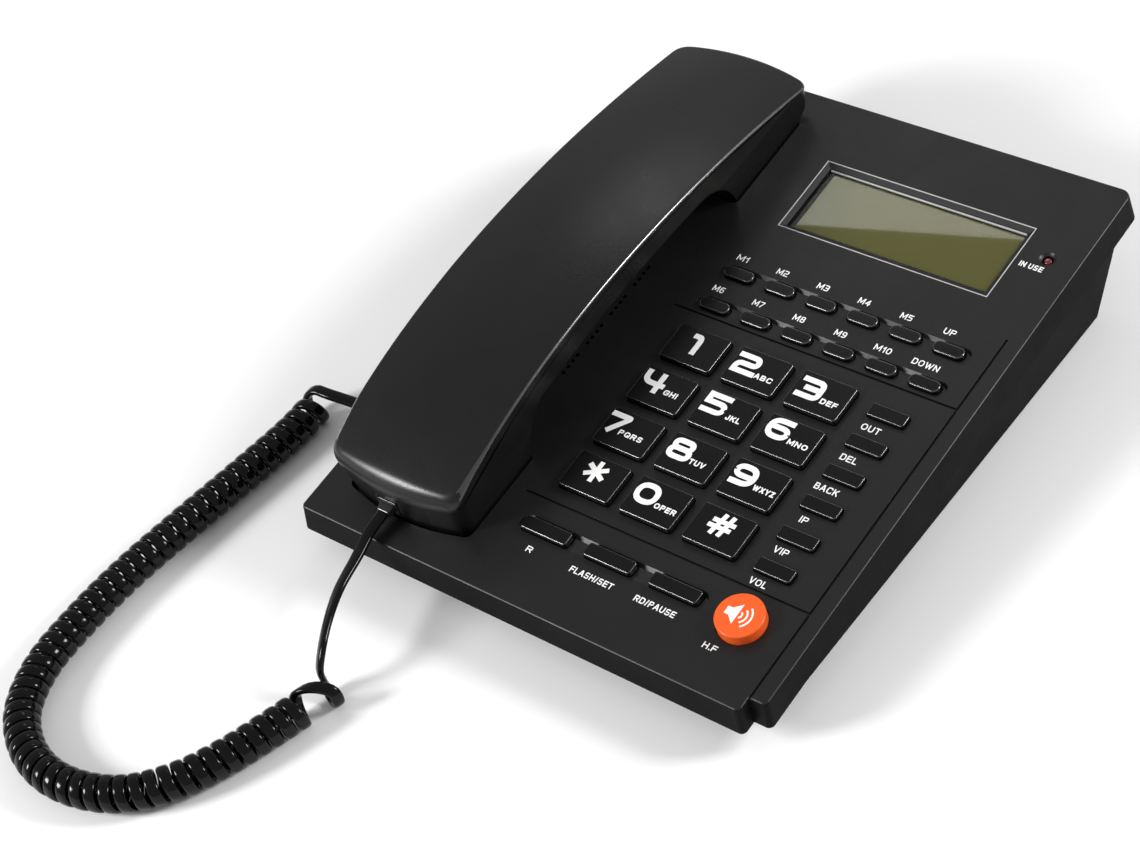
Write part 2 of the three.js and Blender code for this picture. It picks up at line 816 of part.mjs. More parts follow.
function grooveCutters() {
  const half = groove_width / 2;
  const railLeft = plate_right + groove_width;
  const across = [groove_rear_y, groove_front_y].map((y) => block(
    groove_start, plate_right + half, y - half, y + half, -groove_depth, overrun));
  return [...across, block(plate_right, railLeft, 0, groove_long_end, -groove_depth, overrun)];
}

function upperHousing() {
  const shell = lofted([
    rimRing(deckOutline(rim_draft), -rim_height),
    rimRing(deckOutline(0), -edge_round),
    rimRing(deckOutline(-edge_round), 0),
  ]).subtract(rimCavity());
  const moulded = join([shell, ...wellTubs(), hookSleeve(), ...boardPosts(), ...screwPosts()]);
  const keyOpenings = keys.map((key) => prism(key.plan(key_gap), -plate - overrun, overrun));
  return cut(moulded, [
    ...wellCutters(), hookCutter(), ...troughCutters(), ...grooveCutters(), ...keyOpenings,
    ...displayCutters(), ...lampCutters(), ...grilleCutters(), ...screwBores(),
  ]);
}

// Lower housing

const lip_inset = rim_wall + fit;
const rear_bottom = deck_run - rear_inset_bottom;
const rear_top = deck_run - rear_inset_top;
const kneeHeight = (y) => THREE.MathUtils.lerp(foot_gap_height, planeHeight(y, -rim_height), knee_share);
const atKnee = (outline) => outline.map((point) => (
  new THREE.Vector3(point.x, point.y, kneeHeight(point.y))));

function lowerOutline(side, front, rear) {
  return roundedOutline([
    [side, front, front_corner], [deck_width - side, front, inner_corner],
    [deck_width - side, rear, rear_corner], [side, rear, rear_corner],
  ]);
}

function lowerShell() {
  const wall = lowerOutline(side_inset, side_inset, rear_top);
  const lip = lowerOutline(lip_inset, lip_inset, deck_run - lip_inset);
  const outside = lofted([
    atHeight(lowerOutline(side_inset, front_inset, rear_bottom), foot_gap_height),
    atKnee(wall), atPlane(wall, -rim_height), atPlane(lip, -rim_height), atPlane(lip, -lip_height),
  ]);
  const inset = side_inset + floor_wall;
  const slant = Math.hypot(rear_top - rear_bottom, kneeHeight(rear_top)) / kneeHeight(rear_top);
  const innerWall = lowerOutline(inset, inset, rear_top - floor_wall * slant);
  const lipInside = lip_inset + floor_wall;
  const innerLip = lowerOutline(lipInside, lipInside, deck_run - lipInside);
  const inside = lofted([
    atHeight(lowerOutline(inset, front_inset + floor_wall, rear_bottom - floor_wall), floor_top),
    atKnee(innerWall), atPlane(innerWall, -rim_height - floor_wall),
    atPlane(innerLip, -rim_height), atPlane(innerLip, -lip_height + overrun),
  ]);
  return outside.subtract(inside);
}

function ventCutters() {
  return grid(1, vent_count, (column, row) => {
    const y = grille_middle_y + (row - (vent_count - 1) / 2) * vent_pitch;
    return block(
      grille_middle_x - vent_length / 2, grille_middle_x + vent_length / 2,
      y - vent_width / 2, y + vent_width / 2, foot_gap_height - overrun, floor_top + overrun);
  });
}

function screwCutters() {
  const low = foot_gap_height - overrun;
  return post_places.flatMap(([x, y]) => [
    prism(circle(x, y, screw_clearance, post_facets), low, floor_top + overrun),
    prism(circle(x, y, screw_recess, post_facets), low, foot_gap_height + screw_recess_depth),
  ]);
}

function switchCutter() {
  const halfLength = switch_knob_length / 2 + switch_travel + fit;
  const halfHeight = switch_knob_height / 2 + fit;
  return block(
    side_inset - overrun, side_inset + floor_wall + overrun, switch_y - halfLength, switch_y + halfLength,
    switch_z - halfHeight, switch_z + halfHeight);
}

// Sockets and plugs, each in a frame of its own: x across, y up and z out of the opening

function socketFrame(place, facing, up) {
  const across = new THREE.Vector3().crossVectors(up, facing);
  const frame = new THREE.Group();
  frame.quaternion.setFromRotationMatrix(new THREE.Matrix4().makeBasis(across, up, facing));
  frame.position.copy(place);
  frame.updateMatrix();
  return frame;
}

const knee_rise = kneeHeight(rear_top) - foot_gap_height;
const rear_up = new THREE.Vector3(0, rear_top - rear_bottom, knee_rise).normalize();
const rear_out = new THREE.Vector3().crossVectors(rear_up, new THREE.Vector3(1, 0, 0));
const line_place = new THREE.Vector3(
  line_socket_x, THREE.MathUtils.lerp(rear_bottom, rear_top, line_socket_share),
  foot_gap_height + knee_rise * line_socket_share);

const line_frame = socketFrame(line_place, rear_out, rear_up);
const base_socket_frame = socketFrame(
  new THREE.Vector3(side_inset, base_socket_y, base_socket_z),
  new THREE.Vector3(-1, 0, 0), new THREE.Vector3(0, 0, 1));
const handset_socket_frame = socketFrame(
  new THREE.Vector3(handset_socket_x, handset_socket_y, handset_socket_z),
  new THREE.Vector3(0, -1, 0), new THREE.Vector3(0, 0, 1));

function centredBlock(width, height, low, high) {
  return block(-width / 2, width / 2, -height / 2, height / 2, low, high);
}

function socketBody(width, height, length, plugWidth, plugHeight, plugLength) {
  const low = -plugLength - plug_gap;
  const opening = centredBlock(plugWidth + 2 * plug_gap, plugHeight + 2 * plug_gap, low, overrun);
  const clip = block(
    -clip_width / 2, clip_width / 2, -plugHeight / 2 - plug_gap - clip_height, 0, low, overrun);
  return cut(centredBlock(width, height, -length, 0), [opening, clip]);
}

const modularSocket = () => socketBody(
  socket_width, socket_height, socket_length, plug_width, plug_height, plug_length);
const plugBody = () => centredBlock(plug_width, plug_height, plug_proud - plug_length, plug_proud);
const lineSocket = () => socketBody(
  line_socket_width, line_socket_height, line_socket_length,
  line_plug_width, line_plug_height, line_plug_length);

// The hole that a socket needs in the wall round it
function socketCutter(frame, width, height, depth) {
  const halfWidth = width / 2 + fit;
  const halfHeight = height / 2 + fit;
  const outline = rectangle(-halfWidth, halfWidth, -halfHeight, halfHeight, 0);
  const hole = loft([atHeight(outline, -depth), atHeight(outline, overrun)]);
  return solid(hole.applyMatrix4(frame.matrix));
}

function lowerHousing() {
  return cut(lowerShell(), [
    ...ventCutters(), ...screwCutters(), switchCutter(),
    socketCutter(base_socket_frame, socket_width, socket_height, floor_wall + overrun),
    socketCutter(line_frame, line_socket_width, line_socket_height, line_socket_length + fit),
  ]);
}

const foot_places = {
  foot_front_left: [side_inset + foot_inset, front_inset + foot_inset],
  foot_front_right: [deck_width - side_inset - foot_inset, front_inset + foot_inset],
  foot_rear_left: [side_inset + foot_inset, rear_bottom - foot_inset],
  foot_rear_right: [deck_width - side_inset - foot_inset, rear_bottom - foot_inset],
};
const foot = ([x, y]) => prism(circle(x, y, foot_radius, foot_facets), 0, foot_gap_height - fit);

function ringerSwitch() {
  const wallInside = side_inset + floor_wall + fit;
  const knob = block(
    side_inset - switch_proud, wallInside + switch_plate / 2,
    switch_y - switch_knob_length / 2, switch_y + switch_knob_length / 2,
    switch_z - switch_knob_height / 2, switch_z + switch_knob_height / 2);
  const slide = block(
    wallInside, wallInside + switch_plate,
    switch_y - switch_plate_length / 2, switch_y + switch_plate_length / 2,
    switch_z - switch_plate_height / 2, switch_z + switch_plate_height / 2);
  return knob.add(slide);
}

// Handset

function longCurve(nearHeight, nearPull, farPull, farHeight) {
  const [nearShare, farShare] = pull_place_shares;
  return new THREE.CubicBezierCurve(
    new THREE.Vector2(handset_near, nearHeight),
    new THREE.Vector2(handset_near + nearShare * handset_length, nearPull),
    new THREE.Vector2(handset_near + farShare * handset_length, farPull),
    new THREE.Vector2(handset_far, farHeight),
  );
}

const top_curve = longCurve(top_near_height, top_near_pull, top_far_pull, top_far_height);
const seam_curve = longCurve(seam_near_height, seam_near_pull, seam_far_pull, seam_far_height);

// Height of a long curve at y, by halving: y grows steadily along both curves.
function heightAt(curve, y) {
  let low = 0;
  let high = 1;
  while (high - low > 1e-7) {
    const middle = (low + high) / 2;
    if (curve.getPoint(middle).x < y) {
      low = middle;
    } else {
      high = middle;
    }
  }
  return curve.getPoint(low).y;
}

const topAt = (y) => heightAt(top_curve, y);
const seamAt = (y) => heightAt(seam_curve, y);

// One bowed end of the handset's plan with its corners, from the right side to the left
function handsetEnd(half, y, inwards, round) {
  const edge = half - round;
  const bow = (x) => y + inwards * handset_bow * (x / half) ** 2;
  const corner = [0, 1, 2].map((step) => {
    const angle = (Math.PI / 4) * step;
    return [edge + round * Math.cos(angle), bow(edge) + inwards * round * (1 - Math.sin(angle))];
  });
  const right = [...corner, [edge / 2, bow(edge / 2)]];
  const left = right.map(([x, endY]) => [-x, endY]).reverse();
  return [...right, [0, y], ...left].map(([x, endY]) => new THREE.Vector2(handset_x + x, endY));
}

function handsetPlan(width, near, inset) {
  const half = width / 2 - inset;
  const round = handset_corner - inset;
  return [
    ...handsetEnd(half, near + inset, 1, round).reverse(),
    ...handsetEnd(half, handset_far - inset, -1, round),
  ];
}

function handsetPrism(inset) {
  const footPlan = handsetPlan(handset_foot_width, mouth_cup_start, inset);
  const topPlan = handsetPlan(handset_width, handset_near, inset);
  return lofted([
    atHeight(footPlan, -cup_seat - overrun),
    atHeight(topPlan, handset_draft_height),
    atHeight(topPlan, Math.max(top_near_pull, top_far_pull) + handset_crown),
  ]);
}

// A cross-section from its left half, seen from the far end
function crossSection(y, leftHalf) {
  const right = leftHalf.map(([x, z]) => [-x, z]).reverse();
  return [...leftHalf, ...right].map(([x, z]) => new THREE.Vector3(handset_x + x, y, z));
}

function crownSection(y, low, high, half, round) {
  const crown = (x) => high + handset_crown * (1 - (x / half) ** 2);
  const edge = Math.min(round, (high - low) / 2);
  const bevel = edge * (1 - Math.SQRT1_2);
  return crossSection(y, [
    [-half, low], [-half, high - edge], [bevel - half, high - bevel],
    [edge - half, crown(edge - half)], [-half / 2, crown(half / 2)], [-half / 6, crown(half / 6)],
  ]);
}

function outerShell() {
  const half = handset_width / 2;
  const span = handset_length + 2 * overrun;
  const places = Array.from({ length: handset_stations }, (unused, index) => (
    handset_near - overrun + (span * index) / (handset_stations - 1)));
  const skin = lofted(places.map((y) => crownSection(
    y, seamAt(y) + fit / 2, topAt(y), half, handset_edge_round)));
  const hollow = lofted(places.map((y) => crownSection(
    y, seamAt(y) - overrun, topAt(y) - handset_wall, half - handset_wall, handset_wall)));
  return skin.intersect(handsetPrism(0)).subtract(hollow.intersect(handsetPrism(handset_wall)));
}

// Underside of the handset as [y, z]: the mouth cup, the arch of the grip and the ear cup
function undersideLine() {
  const mouthArchEnd = mouth_cup_end + mouth_arch_run;
  const earArchStart = ear_cup_start - ear_arch_run;
  const flank = (cupEdge, run, top, step) => {
    const angle = (Math.PI / 2) * (step / arch_steps);
    return [cupEdge + run * (1 - Math.cos(angle)), (top + cup_seat) * Math.sin(angle) - cup_seat];
  };
  const steps = Array.from({ length: arch_steps + 1 }, (unused, step) => step);
  const gripAt = (y) => seamAt(y) - grip_depth;
  const grip = steps.slice(1, -1).map((step) => {
    const y = THREE.MathUtils.lerp(mouthArchEnd, earArchStart, step / arch_steps);
    return [y, gripAt(y)];
  });
  const farHeight = seam_far_height - fit / 2 - far_edge;
  return [
    [handset_near - overrun, cup_round - cup_seat],
    [handset_near, cup_round - cup_seat],
    [mouth_cup_start + cup_round, -cup_seat],
    ...steps.map((step) => flank(mouth_cup_end, mouth_arch_run, gripAt(mouthArchEnd), step)),
    ...grip,
    ...steps.map((step) => flank(ear_cup_start, -ear_arch_run, gripAt(earArchStart), step)).reverse(),
    [ear_cup_end, -cup_seat],
    [ear_cup_end + ear_cup_draft, 0],
    [handset_far, farHeight],
    [handset_far + overrun, farHeight],
  ];
}

// The same line moved inwards by the wall, square to its stretches
function inwards(line, wall) {
  return line.map(([y, z], index) => {
    const [beforeY, beforeZ] = line[Math.max(index - 1, 0)];
    const [afterY, afterZ] = line[Math.min(index + 1, line.length - 1)];
    const here = new THREE.Vector2(y, z);
    const arriving = here.clone().sub(new THREE.Vector2(beforeY, beforeZ)).normalize();
    const leaving = new THREE.Vector2(afterY, afterZ).sub(here).normalize();
    const along = arriving.clone().add(leaving).normalize();
    const spread = Math.max(along.dot(arriving), along.dot(leaving));
    return [y - (along.y * wall) / spread, z + (along.x * wall) / spread];
  });
}

function troughSection(y, low, high, half, round) {
  const edge = Math.min(round, (high - low) / 2);
  const bevel = edge * (1 - Math.SQRT1_2);
  const left = [[-half, high], [-half, low + edge], [bevel - half, low + bevel], [edge - half, low]];
  return crossSection(y, left).reverse();
}

function soundCutters(y, count, radius) {
  const ring = Array.from({ length: count }, (unused, index) => {
    const angle = (2 * Math.PI * index) / count;
    return [handset_x + radius * Math.cos(angle), y + radius * Math.sin(angle)];
  });
  return ring.map(([x, holeY]) => prism(
    circle(x, holeY, sound_hole_radius, sound_facets), -cup_seat - overrun, handset_wall - cup_seat + fit));
}

function innerShell() {
  const half = handset_width / 2;
  const outside = undersideLine();
  const skin = lofted(outside.map(([y, z]) => troughSection(y, z, seamAt(y) - fit / 2, half, grip_round)));
  const hollow = lofted(inwards(outside, handset_wall).map(([y, z]) => troughSection(
    y, z, Math.max(seamAt(y), z) + overrun, half - handset_wall, grip_round / 2)));
  const shell = skin.intersect(handsetPrism(0)).subtract(hollow.intersect(handsetPrism(handset_wall)));
  return cut(shell, [
    ...soundCutters(receiver_y, ear_holes, ear_ring_radius),
    ...soundCutters(microphone_y, mouth_holes, mouth_ring_radius),
    socketCutter(handset_socket_frame, socket_width, socket_height, handset_wall + overrun),
  ]);
}

// A flat can with a bevelled rim, resting on the floor of a cup
function capsule(y, radius, height) {
  const low = handset_wall - cup_seat + fit;
  const high = low + height;
  return revolved([
    [0, low], [radius - capsule_round, low], [radius, low + capsule_round],
    [radius, high - capsule_round], [radius - capsule_round, high], [0, high],
  ], handset_x, y, capsule_facets);
}

// Cord

const coil_height = coil_radius + cord_thickness / 2 + coil_floor_gap;

// Arc length of each step along the coil's axis: the end turns take longer steps
function coilMarks(length) {
  const count = Math.round(coil_turns * coil_steps);
  const marks = [0];
  for (let step = 0; step < count; step += 1) {
    const turn = (step + 0.5) / coil_steps;
    const far = Math.max(0, 1 - turn / coil_slack_turns) * far_slack_share;
    const near = Math.max(0, 1 - (coil_turns - turn) / coil_slack_turns) * near_slack_share;
    marks.push(marks[step] + 1 + 2 * far + 2 * near);
  }
  return marks.map((mark) => (mark / marks[count]) * length);
}

// One ring of the cord's section: radial leans away from the axis, axial runs along it
function cordRing({ centre, radial, axial }) {
  return Array.from({ length: coil_sides }, (unused, index) => {
    const angle = Math.PI / 2 + (2 * Math.PI * index) / coil_sides;
    return centre.clone()
      .addScaledVector(radial, (cord_thickness / 2) * Math.sin(angle))
      .addScaledVector(axial, (curl_width / 2) * Math.cos(angle));
  });
}

function coilPath() {
  const axis = new THREE.CatmullRomCurve3(
    coil_route.map(([x, y]) => new THREE.Vector3(x, y, coil_height)), false, 'centripetal');
  const up = new THREE.Vector3(0, 0, 1);
  const length = axis.getLength();
  const turns = coilMarks(length).map((mark, step) => {
    const axial = axis.getTangentAt(mark / length);
    const across = new THREE.Vector3().crossVectors(axial, up).normalize();
    const angle = (2 * Math.PI * step) / coil_steps;
    const radial = up.clone().multiplyScalar(Math.cos(angle)).addScaledVector(across, Math.sin(angle));
    const travel = new THREE.Vector3().crossVectors(axial, radial);
    const centre = axis.getPointAt(mark / length).addScaledVector(radial, coil_radius);
    return { centre, radial, axial, travel };
  });
  const [first, last] = [turns[0], turns[turns.length - 1]];
  const before = first.centre.clone().addScaledVector(first.travel, -cord_width);
  const after = last.centre.clone().addScaledVector(last.travel, cord_width);
  return [{ ...first, centre: before }, ...turns, { ...last, centre: after }];
}

const coil_path = coilPath();
const coil_rings = coil_path.map(cordRing);

// Least distance between the points of one turn and those of the turns beside it
function leastCurlGap() {
  let least = Infinity;
  coil_rings.forEach((ring, first) => {
    const others = coil_rings.slice(first + coil_steps / 2, first + 2 * coil_steps).flat();
    ring.forEach((point) => others.forEach((other) => {
      least = Math.min(least, point.distanceTo(other));
    }));
  });
  return least;
}

function leadBody(points, sizeX, sizeY) {
  const path = new THREE.CatmullRomCurve3(points, false, 'centripetal');
  const section = circle(0, 0, 1, lead_facets).map((point) => (
    new THREE.Vector2((point.x * sizeX) / 2, (point.y * sizeY) / 2)));
  const steps = Math.ceil(path.getLength() / lead_step);
  const shape = new THREE.Shape(section);
  return solid(new THREE.ExtrudeGeometry(shape, { steps, extrudePath: path, bevelEnabled: false }));
}

// Where a lead leaves its plug, in the frame of the whole phone, with a point straight out of it
function plugExit(frame) {
  return [fit, fit + cord_width].map((out) => (
    frame.localToWorld(new THREE.Vector3(0, 0, plug_proud + out))));
}

// Where a lead meets an end of the coil, reached along the coil's own straight end
function coilEnd({ centre, travel }, side) {
  return [fit + cord_width, fit].map((out) => centre.clone().addScaledVector(travel, side * out));
}

const routePoints = (route) => route.map((place) => new THREE.Vector3(...place));

// Assembly

const phone = new THREE.Group();
phone.add(base);
base.add(line_frame, base_socket_frame);
deck.add(handset_socket_frame);
phone.updateMatrixWorld(true);

base.add(
  piece('lower_housing', lowerHousing(), black_plastic),
  piece('ringer_switch', ringerSwitch(), black_plastic),
  ...Object.entries(foot_places).map(([name, place]) => piece(name, foot(place), foot_rubber)),
);
line_frame.add(piece('line_jack', lineSocket(), black_plastic));
base_socket_frame.add(
  piece('cord_jack', modularSocket(), black_plastic),
  piece('base_plug', plugBody(), plug_plastic),
);

deck.add(
  piece('upper_housing', upperHousing(), black_plastic),
  piece('display_window', displayWindow(), clear_plastic),
  piece('lcd_panel', lcdPanel(), display_glass),
  piece('in_use_lamp', inUseLamp(), lamp_plastic),
  piece('key_membrane', keyMembrane(), grey_rubber),
  piece('main_board', mainBoard(), board_resin),
  piece('loudspeaker', loudspeaker(), magnet_steel),
  piece('hook_plunger', hookPlunger(), black_plastic),
  ...keys.map(keyPiece),
);

deck.add(
  piece('handset_outer_shell', outerShell(), black_plastic),
  piece('handset_inner_shell', innerShell(), black_plastic),
  piece('receiver_capsule', capsule(receiver_y, receiver_radius, receiver_height), magnet_steel),
  piece('microphone_capsule', capsule(microphone_y, microphone_radius, microphone_height), magnet_steel),
);
handset_socket_frame.add(
  piece('handset_jack', modularSocket(), black_plastic),
  piece('handset_plug', plugBody(), plug_plastic),
);

phone.add(
  piece('cord_base_lead', leadBody([
    ...plugExit(base_socket_frame), ...routePoints(base_lead_route), ...coilEnd(coil_path[0], -1),
  ], cord_thickness, cord_width), cord_vinyl),
  piece('cord_curls', lofted(coil_rings), cord_vinyl),
  piece('cord_handset_lead', leadBody([
    ...plugExit(handset_socket_frame), ...routePoints(handset_lead_route),
    ...coilEnd(coil_path[coil_path.length - 1], 1),
  ], cord_width, cord_thickness), cord_vinyl),
);

console.log(`least gap between curls: ${leastCurlGap().toFixed(2)} mm`);

export default phone;
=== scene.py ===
# %% [markdown]
# # A corded desk telephone
#
# The telephone stands on a pale table: a low sloping housing with a keypad and a number display,
# a handset that lies in two wells on the left, and a curly cord that lies on the table in front.
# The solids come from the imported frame. This lesson gives each of them the form and the finish that
# the eye sees, and keeps every piece exactly where its solid is.

# %% The frame
import math
from contextlib import contextmanager
from functools import partial

import bmesh
import bpy
import numpy as np
from mathutils import Matrix, Quaternion, Vector


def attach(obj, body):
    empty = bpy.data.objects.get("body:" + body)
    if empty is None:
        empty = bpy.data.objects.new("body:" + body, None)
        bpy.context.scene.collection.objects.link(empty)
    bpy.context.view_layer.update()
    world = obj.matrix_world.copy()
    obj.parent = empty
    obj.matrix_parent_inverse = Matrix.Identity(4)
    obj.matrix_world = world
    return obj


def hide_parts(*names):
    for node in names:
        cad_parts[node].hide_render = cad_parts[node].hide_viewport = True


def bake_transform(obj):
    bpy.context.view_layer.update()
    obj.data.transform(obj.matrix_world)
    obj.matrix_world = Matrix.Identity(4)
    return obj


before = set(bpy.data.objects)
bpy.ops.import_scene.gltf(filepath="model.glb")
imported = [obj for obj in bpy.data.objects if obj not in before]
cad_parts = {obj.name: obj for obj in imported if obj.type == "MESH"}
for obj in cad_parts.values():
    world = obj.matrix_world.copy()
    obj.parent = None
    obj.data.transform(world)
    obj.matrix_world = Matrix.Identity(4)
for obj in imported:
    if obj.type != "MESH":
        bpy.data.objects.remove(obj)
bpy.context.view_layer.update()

mm = 0.001

# %% [markdown]
# ## Two ways to say where something is
#
# Most of the telephone is drawn flat on its deck, and the deck leans back by six degrees. It is far
# easier to model a key with its sides along x and y, so each piece on the deck is made lying flat
# and its mesh is tipped with the deck at the end. The object itself stays at the origin, unturned.

# %% The deck's place
def offset(x, y, z):
    """A move by so many millimetres."""
    return Matrix.Translation((x * mm, y * mm, z * mm))


deck_width = 186.5
deck_depth = 228.3
deck_slope = math.radians(6)
front_height = 19.5
BASE = offset(-deck_width / 2, -deck_depth * math.cos(deck_slope) / 2, 0)
DECK = BASE @ offset(0, 0, front_height) @ Matrix.Rotation(deck_slope, 4, "X")
deck_up = DECK.to_3x3() @ Vector((0, 0, 1))
print("deck normal:", [round(value, 4) for value in deck_up])

# %% [markdown]
# ## The camera
#
# The camera comes first, because the cord is judged by what it shows. Its place and its turn were
# worked out from the vanishing points of the deck's edges. It looks down by 44 degrees from the
# front right, and it is tilted a little about its own axis, which is why the deck seems to run
# downhill to the right. A long lens from near by gives the mild perspective.

# %% Camera
camera_place = Vector((445.1, -455.96, 636.51)) * mm
view_direction = Vector((-0.540374, 0.468109, -0.699192))
camera_roll = math.radians(-16.27)

deselect = lambda: bpy.ops.object.select_all(action="DESELECT")
deselect()
bpy.ops.object.camera_add(location=camera_place)
camera = bpy.context.object
level = view_direction.to_track_quat("-Z", "Y")
camera.rotation_mode = "QUATERNION"
camera.rotation_quaternion = level @ Quaternion((0, 0, 1), camera_roll)
camera.data.sensor_width = 36
camera.data.lens = 83.5
camera.data.clip_start = 0.05
bpy.context.scene.camera = camera
print("camera", round((camera_place - Vector((0, 0, 30 * mm))).length, 3), "m from the keys")

# %% [markdown]
# ## Tools for shaping
#
# Almost every piece starts as a primitive. A disc whose points are moved to the corners of an
# outline, rounded one by one and drawn up, gives every block of this telephone. Where a surface
# curves in two directions, a grid primitive is wrapped round a row of sections instead. These tools
# take millimetres, as a drawing does, and the meshes they make are in metres.

# %% Picking and editing
def pick(piece):
    """Select one object and nothing else."""
    deselect()
    piece.select_set(True)
    bpy.context.view_layer.objects.active = piece


@contextmanager
def editing(piece):
    """Edit mode on one object, for as long as the block lasts."""
    pick(piece)
    bpy.ops.object.mode_set(mode="EDIT")
    yield
    bpy.ops.object.mode_set(mode="OBJECT")


def select_where(piece, kind, test):
    """In edit mode, select the points, edges or faces that pass a test."""
    mesh = bmesh.from_edit_mesh(piece.data)
    mesh.select_mode = {kind}
    parts = {"VERT": mesh.verts, "EDGE": mesh.edges, "FACE": mesh.faces}
    for part in parts["VERT"][:] + parts["EDGE"][:] + parts["FACE"][:]:
        part.select = False
    for part in parts[kind]:
        if test(part):
            part.select_set(True)
    mesh.select_flush_mode()
    bmesh.update_edit_mesh(piece.data)


def at_height(z, slack=1e-6):
    """A test for points at one height, and for edges and faces with all points there."""
    def test(part):
        corners = getattr(part, "verts", [part])
        return all(abs(corner.co.z - z * mm) < slack for corner in corners)
    return test


# %% Blocks with rounded outlines
def outline_block(name, corners, low, high, steps=6):
    """A disc primitive with its points on the corners (x, y, radius), rounded and drawn up."""
    corners = [[value * mm for value in corner] for corner in corners]
    low, high = low * mm, high * mm
    deselect()
    bpy.ops.mesh.primitive_circle_add(vertices=len(corners), radius=mm, fill_type="NGON")
    block = bpy.context.object
    block.name = block.data.name = name
    for vert, (x, y, radius) in zip(block.data.vertices, corners):
        vert.co = (x, y, low)
    with editing(block):
        for x, y, radius in corners:
            if radius:
                here = Vector((x, y, low))
                select_where(block, "VERT", lambda vert: (vert.co - here).length < 1e-7)
                bpy.ops.mesh.bevel(
                    offset=radius, segments=steps, affect="VERTICES", clamp_overlap=False)
        bpy.ops.mesh.select_all(action="SELECT")
        bpy.ops.mesh.remove_doubles(threshold=1e-7)
        bpy.ops.mesh.extrude_region_move(TRANSFORM_OT_translate={"value": (0, 0, high - low)})
        bpy.ops.mesh.select_all(action="SELECT")
        bpy.ops.mesh.normals_make_consistent(inside=False)
    return block


def rectangle(left, right, front, rear, radius=0.0):
    corners = ((left, front), (right, front), (right, rear), (left, rear))
    return [(x, y, radius) for x, y in corners]


def round_rim(block, z, radius, steps=3, finish=-1):
    """Round the outline of a block at one height; the bevel can have the finish of a later slot."""
    flat = at_height(z)
    with editing(block):
        select_where(block, "EDGE", lambda edge: flat(edge) and edge.calc_face_angle(0) > 0.5)
        bpy.ops.mesh.bevel(
            offset=radius * mm, segments=steps, affect="EDGES", clamp_overlap=True, material=finish)


# %% Boxes
def boxed(name, x, y, z, bevel=0.0, steps=2):
    """A cube primitive between limits in x, y and z, with its edges bevelled."""
    deselect()
    centre = [(low * mm + high * mm) / 2 for low, high in (x, y, z)]
    size = [high * mm - low * mm for low, high in (x, y, z)]
    bpy.ops.mesh.primitive_cube_add(size=1, location=centre, scale=size)
    block = bpy.context.object
    bpy.ops.object.transform_apply(location=True, rotation=True, scale=True)
    block.name = block.data.name = name
    if bevel:
        with editing(block):
            bpy.ops.mesh.select_all(action="SELECT")
            bpy.ops.mesh.bevel(offset=bevel * mm, segments=steps, affect="EDGES")
    return block


# %% Joining and cutting
def joined(pieces, name=None):
    """Several objects as one."""
    deselect()
    for piece in pieces:
        piece.select_set(True)
    bpy.context.view_layer.objects.active = pieces[0]
    if len(pieces) > 1:
        bpy.ops.object.join()
    if name:
        pieces[0].name = pieces[0].data.name = name
    return pieces[0]


def combine(operation, piece, *others):
    """A boolean step on a piece, with the other shapes as one tool that is used up."""
    tool = joined(others)
    step = piece.modifiers.new("combine", "BOOLEAN")
    step.operation = operation
    step.solver = "EXACT"
    step.use_self = True
    step.object = tool
    pick(piece)
    bpy.ops.object.modifier_apply(modifier=step.name)
    bpy.data.objects.remove(tool)
    return piece


cut = partial(combine, "DIFFERENCE")
fuse = partial(combine, "UNION")
keep_shared = partial(combine, "INTERSECT")


def wrapped_grid(name, rings, filled=True, unit=mm):
    """A grid primitive whose rows are set on closed rings of points."""
    rows, around = len(rings) - 1, len(rings[0])
    deselect()
    bpy.ops.mesh.primitive_grid_add(x_subdivisions=around, y_subdivisions=rows, size=1)
    sheet = bpy.context.object
    sheet.name = sheet.data.name = name
    for vert in sheet.data.vertices:
        row = round((vert.co.y + 0.5) * rows)
        vert.co = [value * unit for value in rings[row][round((vert.co.x + 0.5) * around) % around]]
    with editing(sheet):
        bpy.ops.mesh.select_all(action="SELECT")
        bpy.ops.mesh.remove_doubles(threshold=1e-7)
        if filled:
            bpy.ops.mesh.fill_holes(sides=0)
            bpy.ops.mesh.select_all(action="SELECT")
        bpy.ops.mesh.normals_make_consistent(inside=False)
    return sheet


def dressed(piece, *finishes):
    """Give a piece these finishes and no others."""
    piece.data.materials.clear()
    for finish in finishes:
        piece.data.materials.append(finish)
    return piece


def finished(piece, place, body, nodes, angle=50):
    """Tip a piece into place, shade it and hang it on its body, for the solids it stands for."""
    piece.data.transform(place)
    pick(piece)
    bpy.ops.object.shade_smooth_by_angle(angle=math.radians(angle))
    flat_first = piece.modifiers.new("flat faces first", "WEIGHTED_NORMAL")
    flat_first.keep_sharp = True
    flat_first.weight = 100
    bpy.ops.object.modifier_apply(modifier=flat_first.name)
    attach(piece, body)
    if nodes:
        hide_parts(*nodes)
    return piece


print("tools ready")

# %% [markdown]
# ## Effects that the finishes share
#
# Moulded plastic is never one flat tone. The mould gives it a fine grain, the polish on it comes
# and goes over some centimetres, and hands rub some places smoother. Each of these is a node group,
# so that every material can use it at its own scale.

# %% Node group: moulded grain
def new_group(name, inputs, outputs):
    """An empty shader group with float sockets, and a vector socket to place it."""
    tree = bpy.data.node_groups.new(name, "ShaderNodeTree")
    tree.interface.new_socket("Vector", in_out="INPUT", socket_type="NodeSocketVector")
    for socket, value in inputs:
        made = tree.interface.new_socket(socket, in_out="INPUT", socket_type="NodeSocketFloat")
        made.default_value = value
    for socket in outputs:
        tree.interface.new_socket(socket, in_out="OUTPUT", socket_type="NodeSocketFloat")
    start = tree.nodes.new("NodeGroupInput")
    end = tree.nodes.new("NodeGroupOutput")
    return tree, start, end


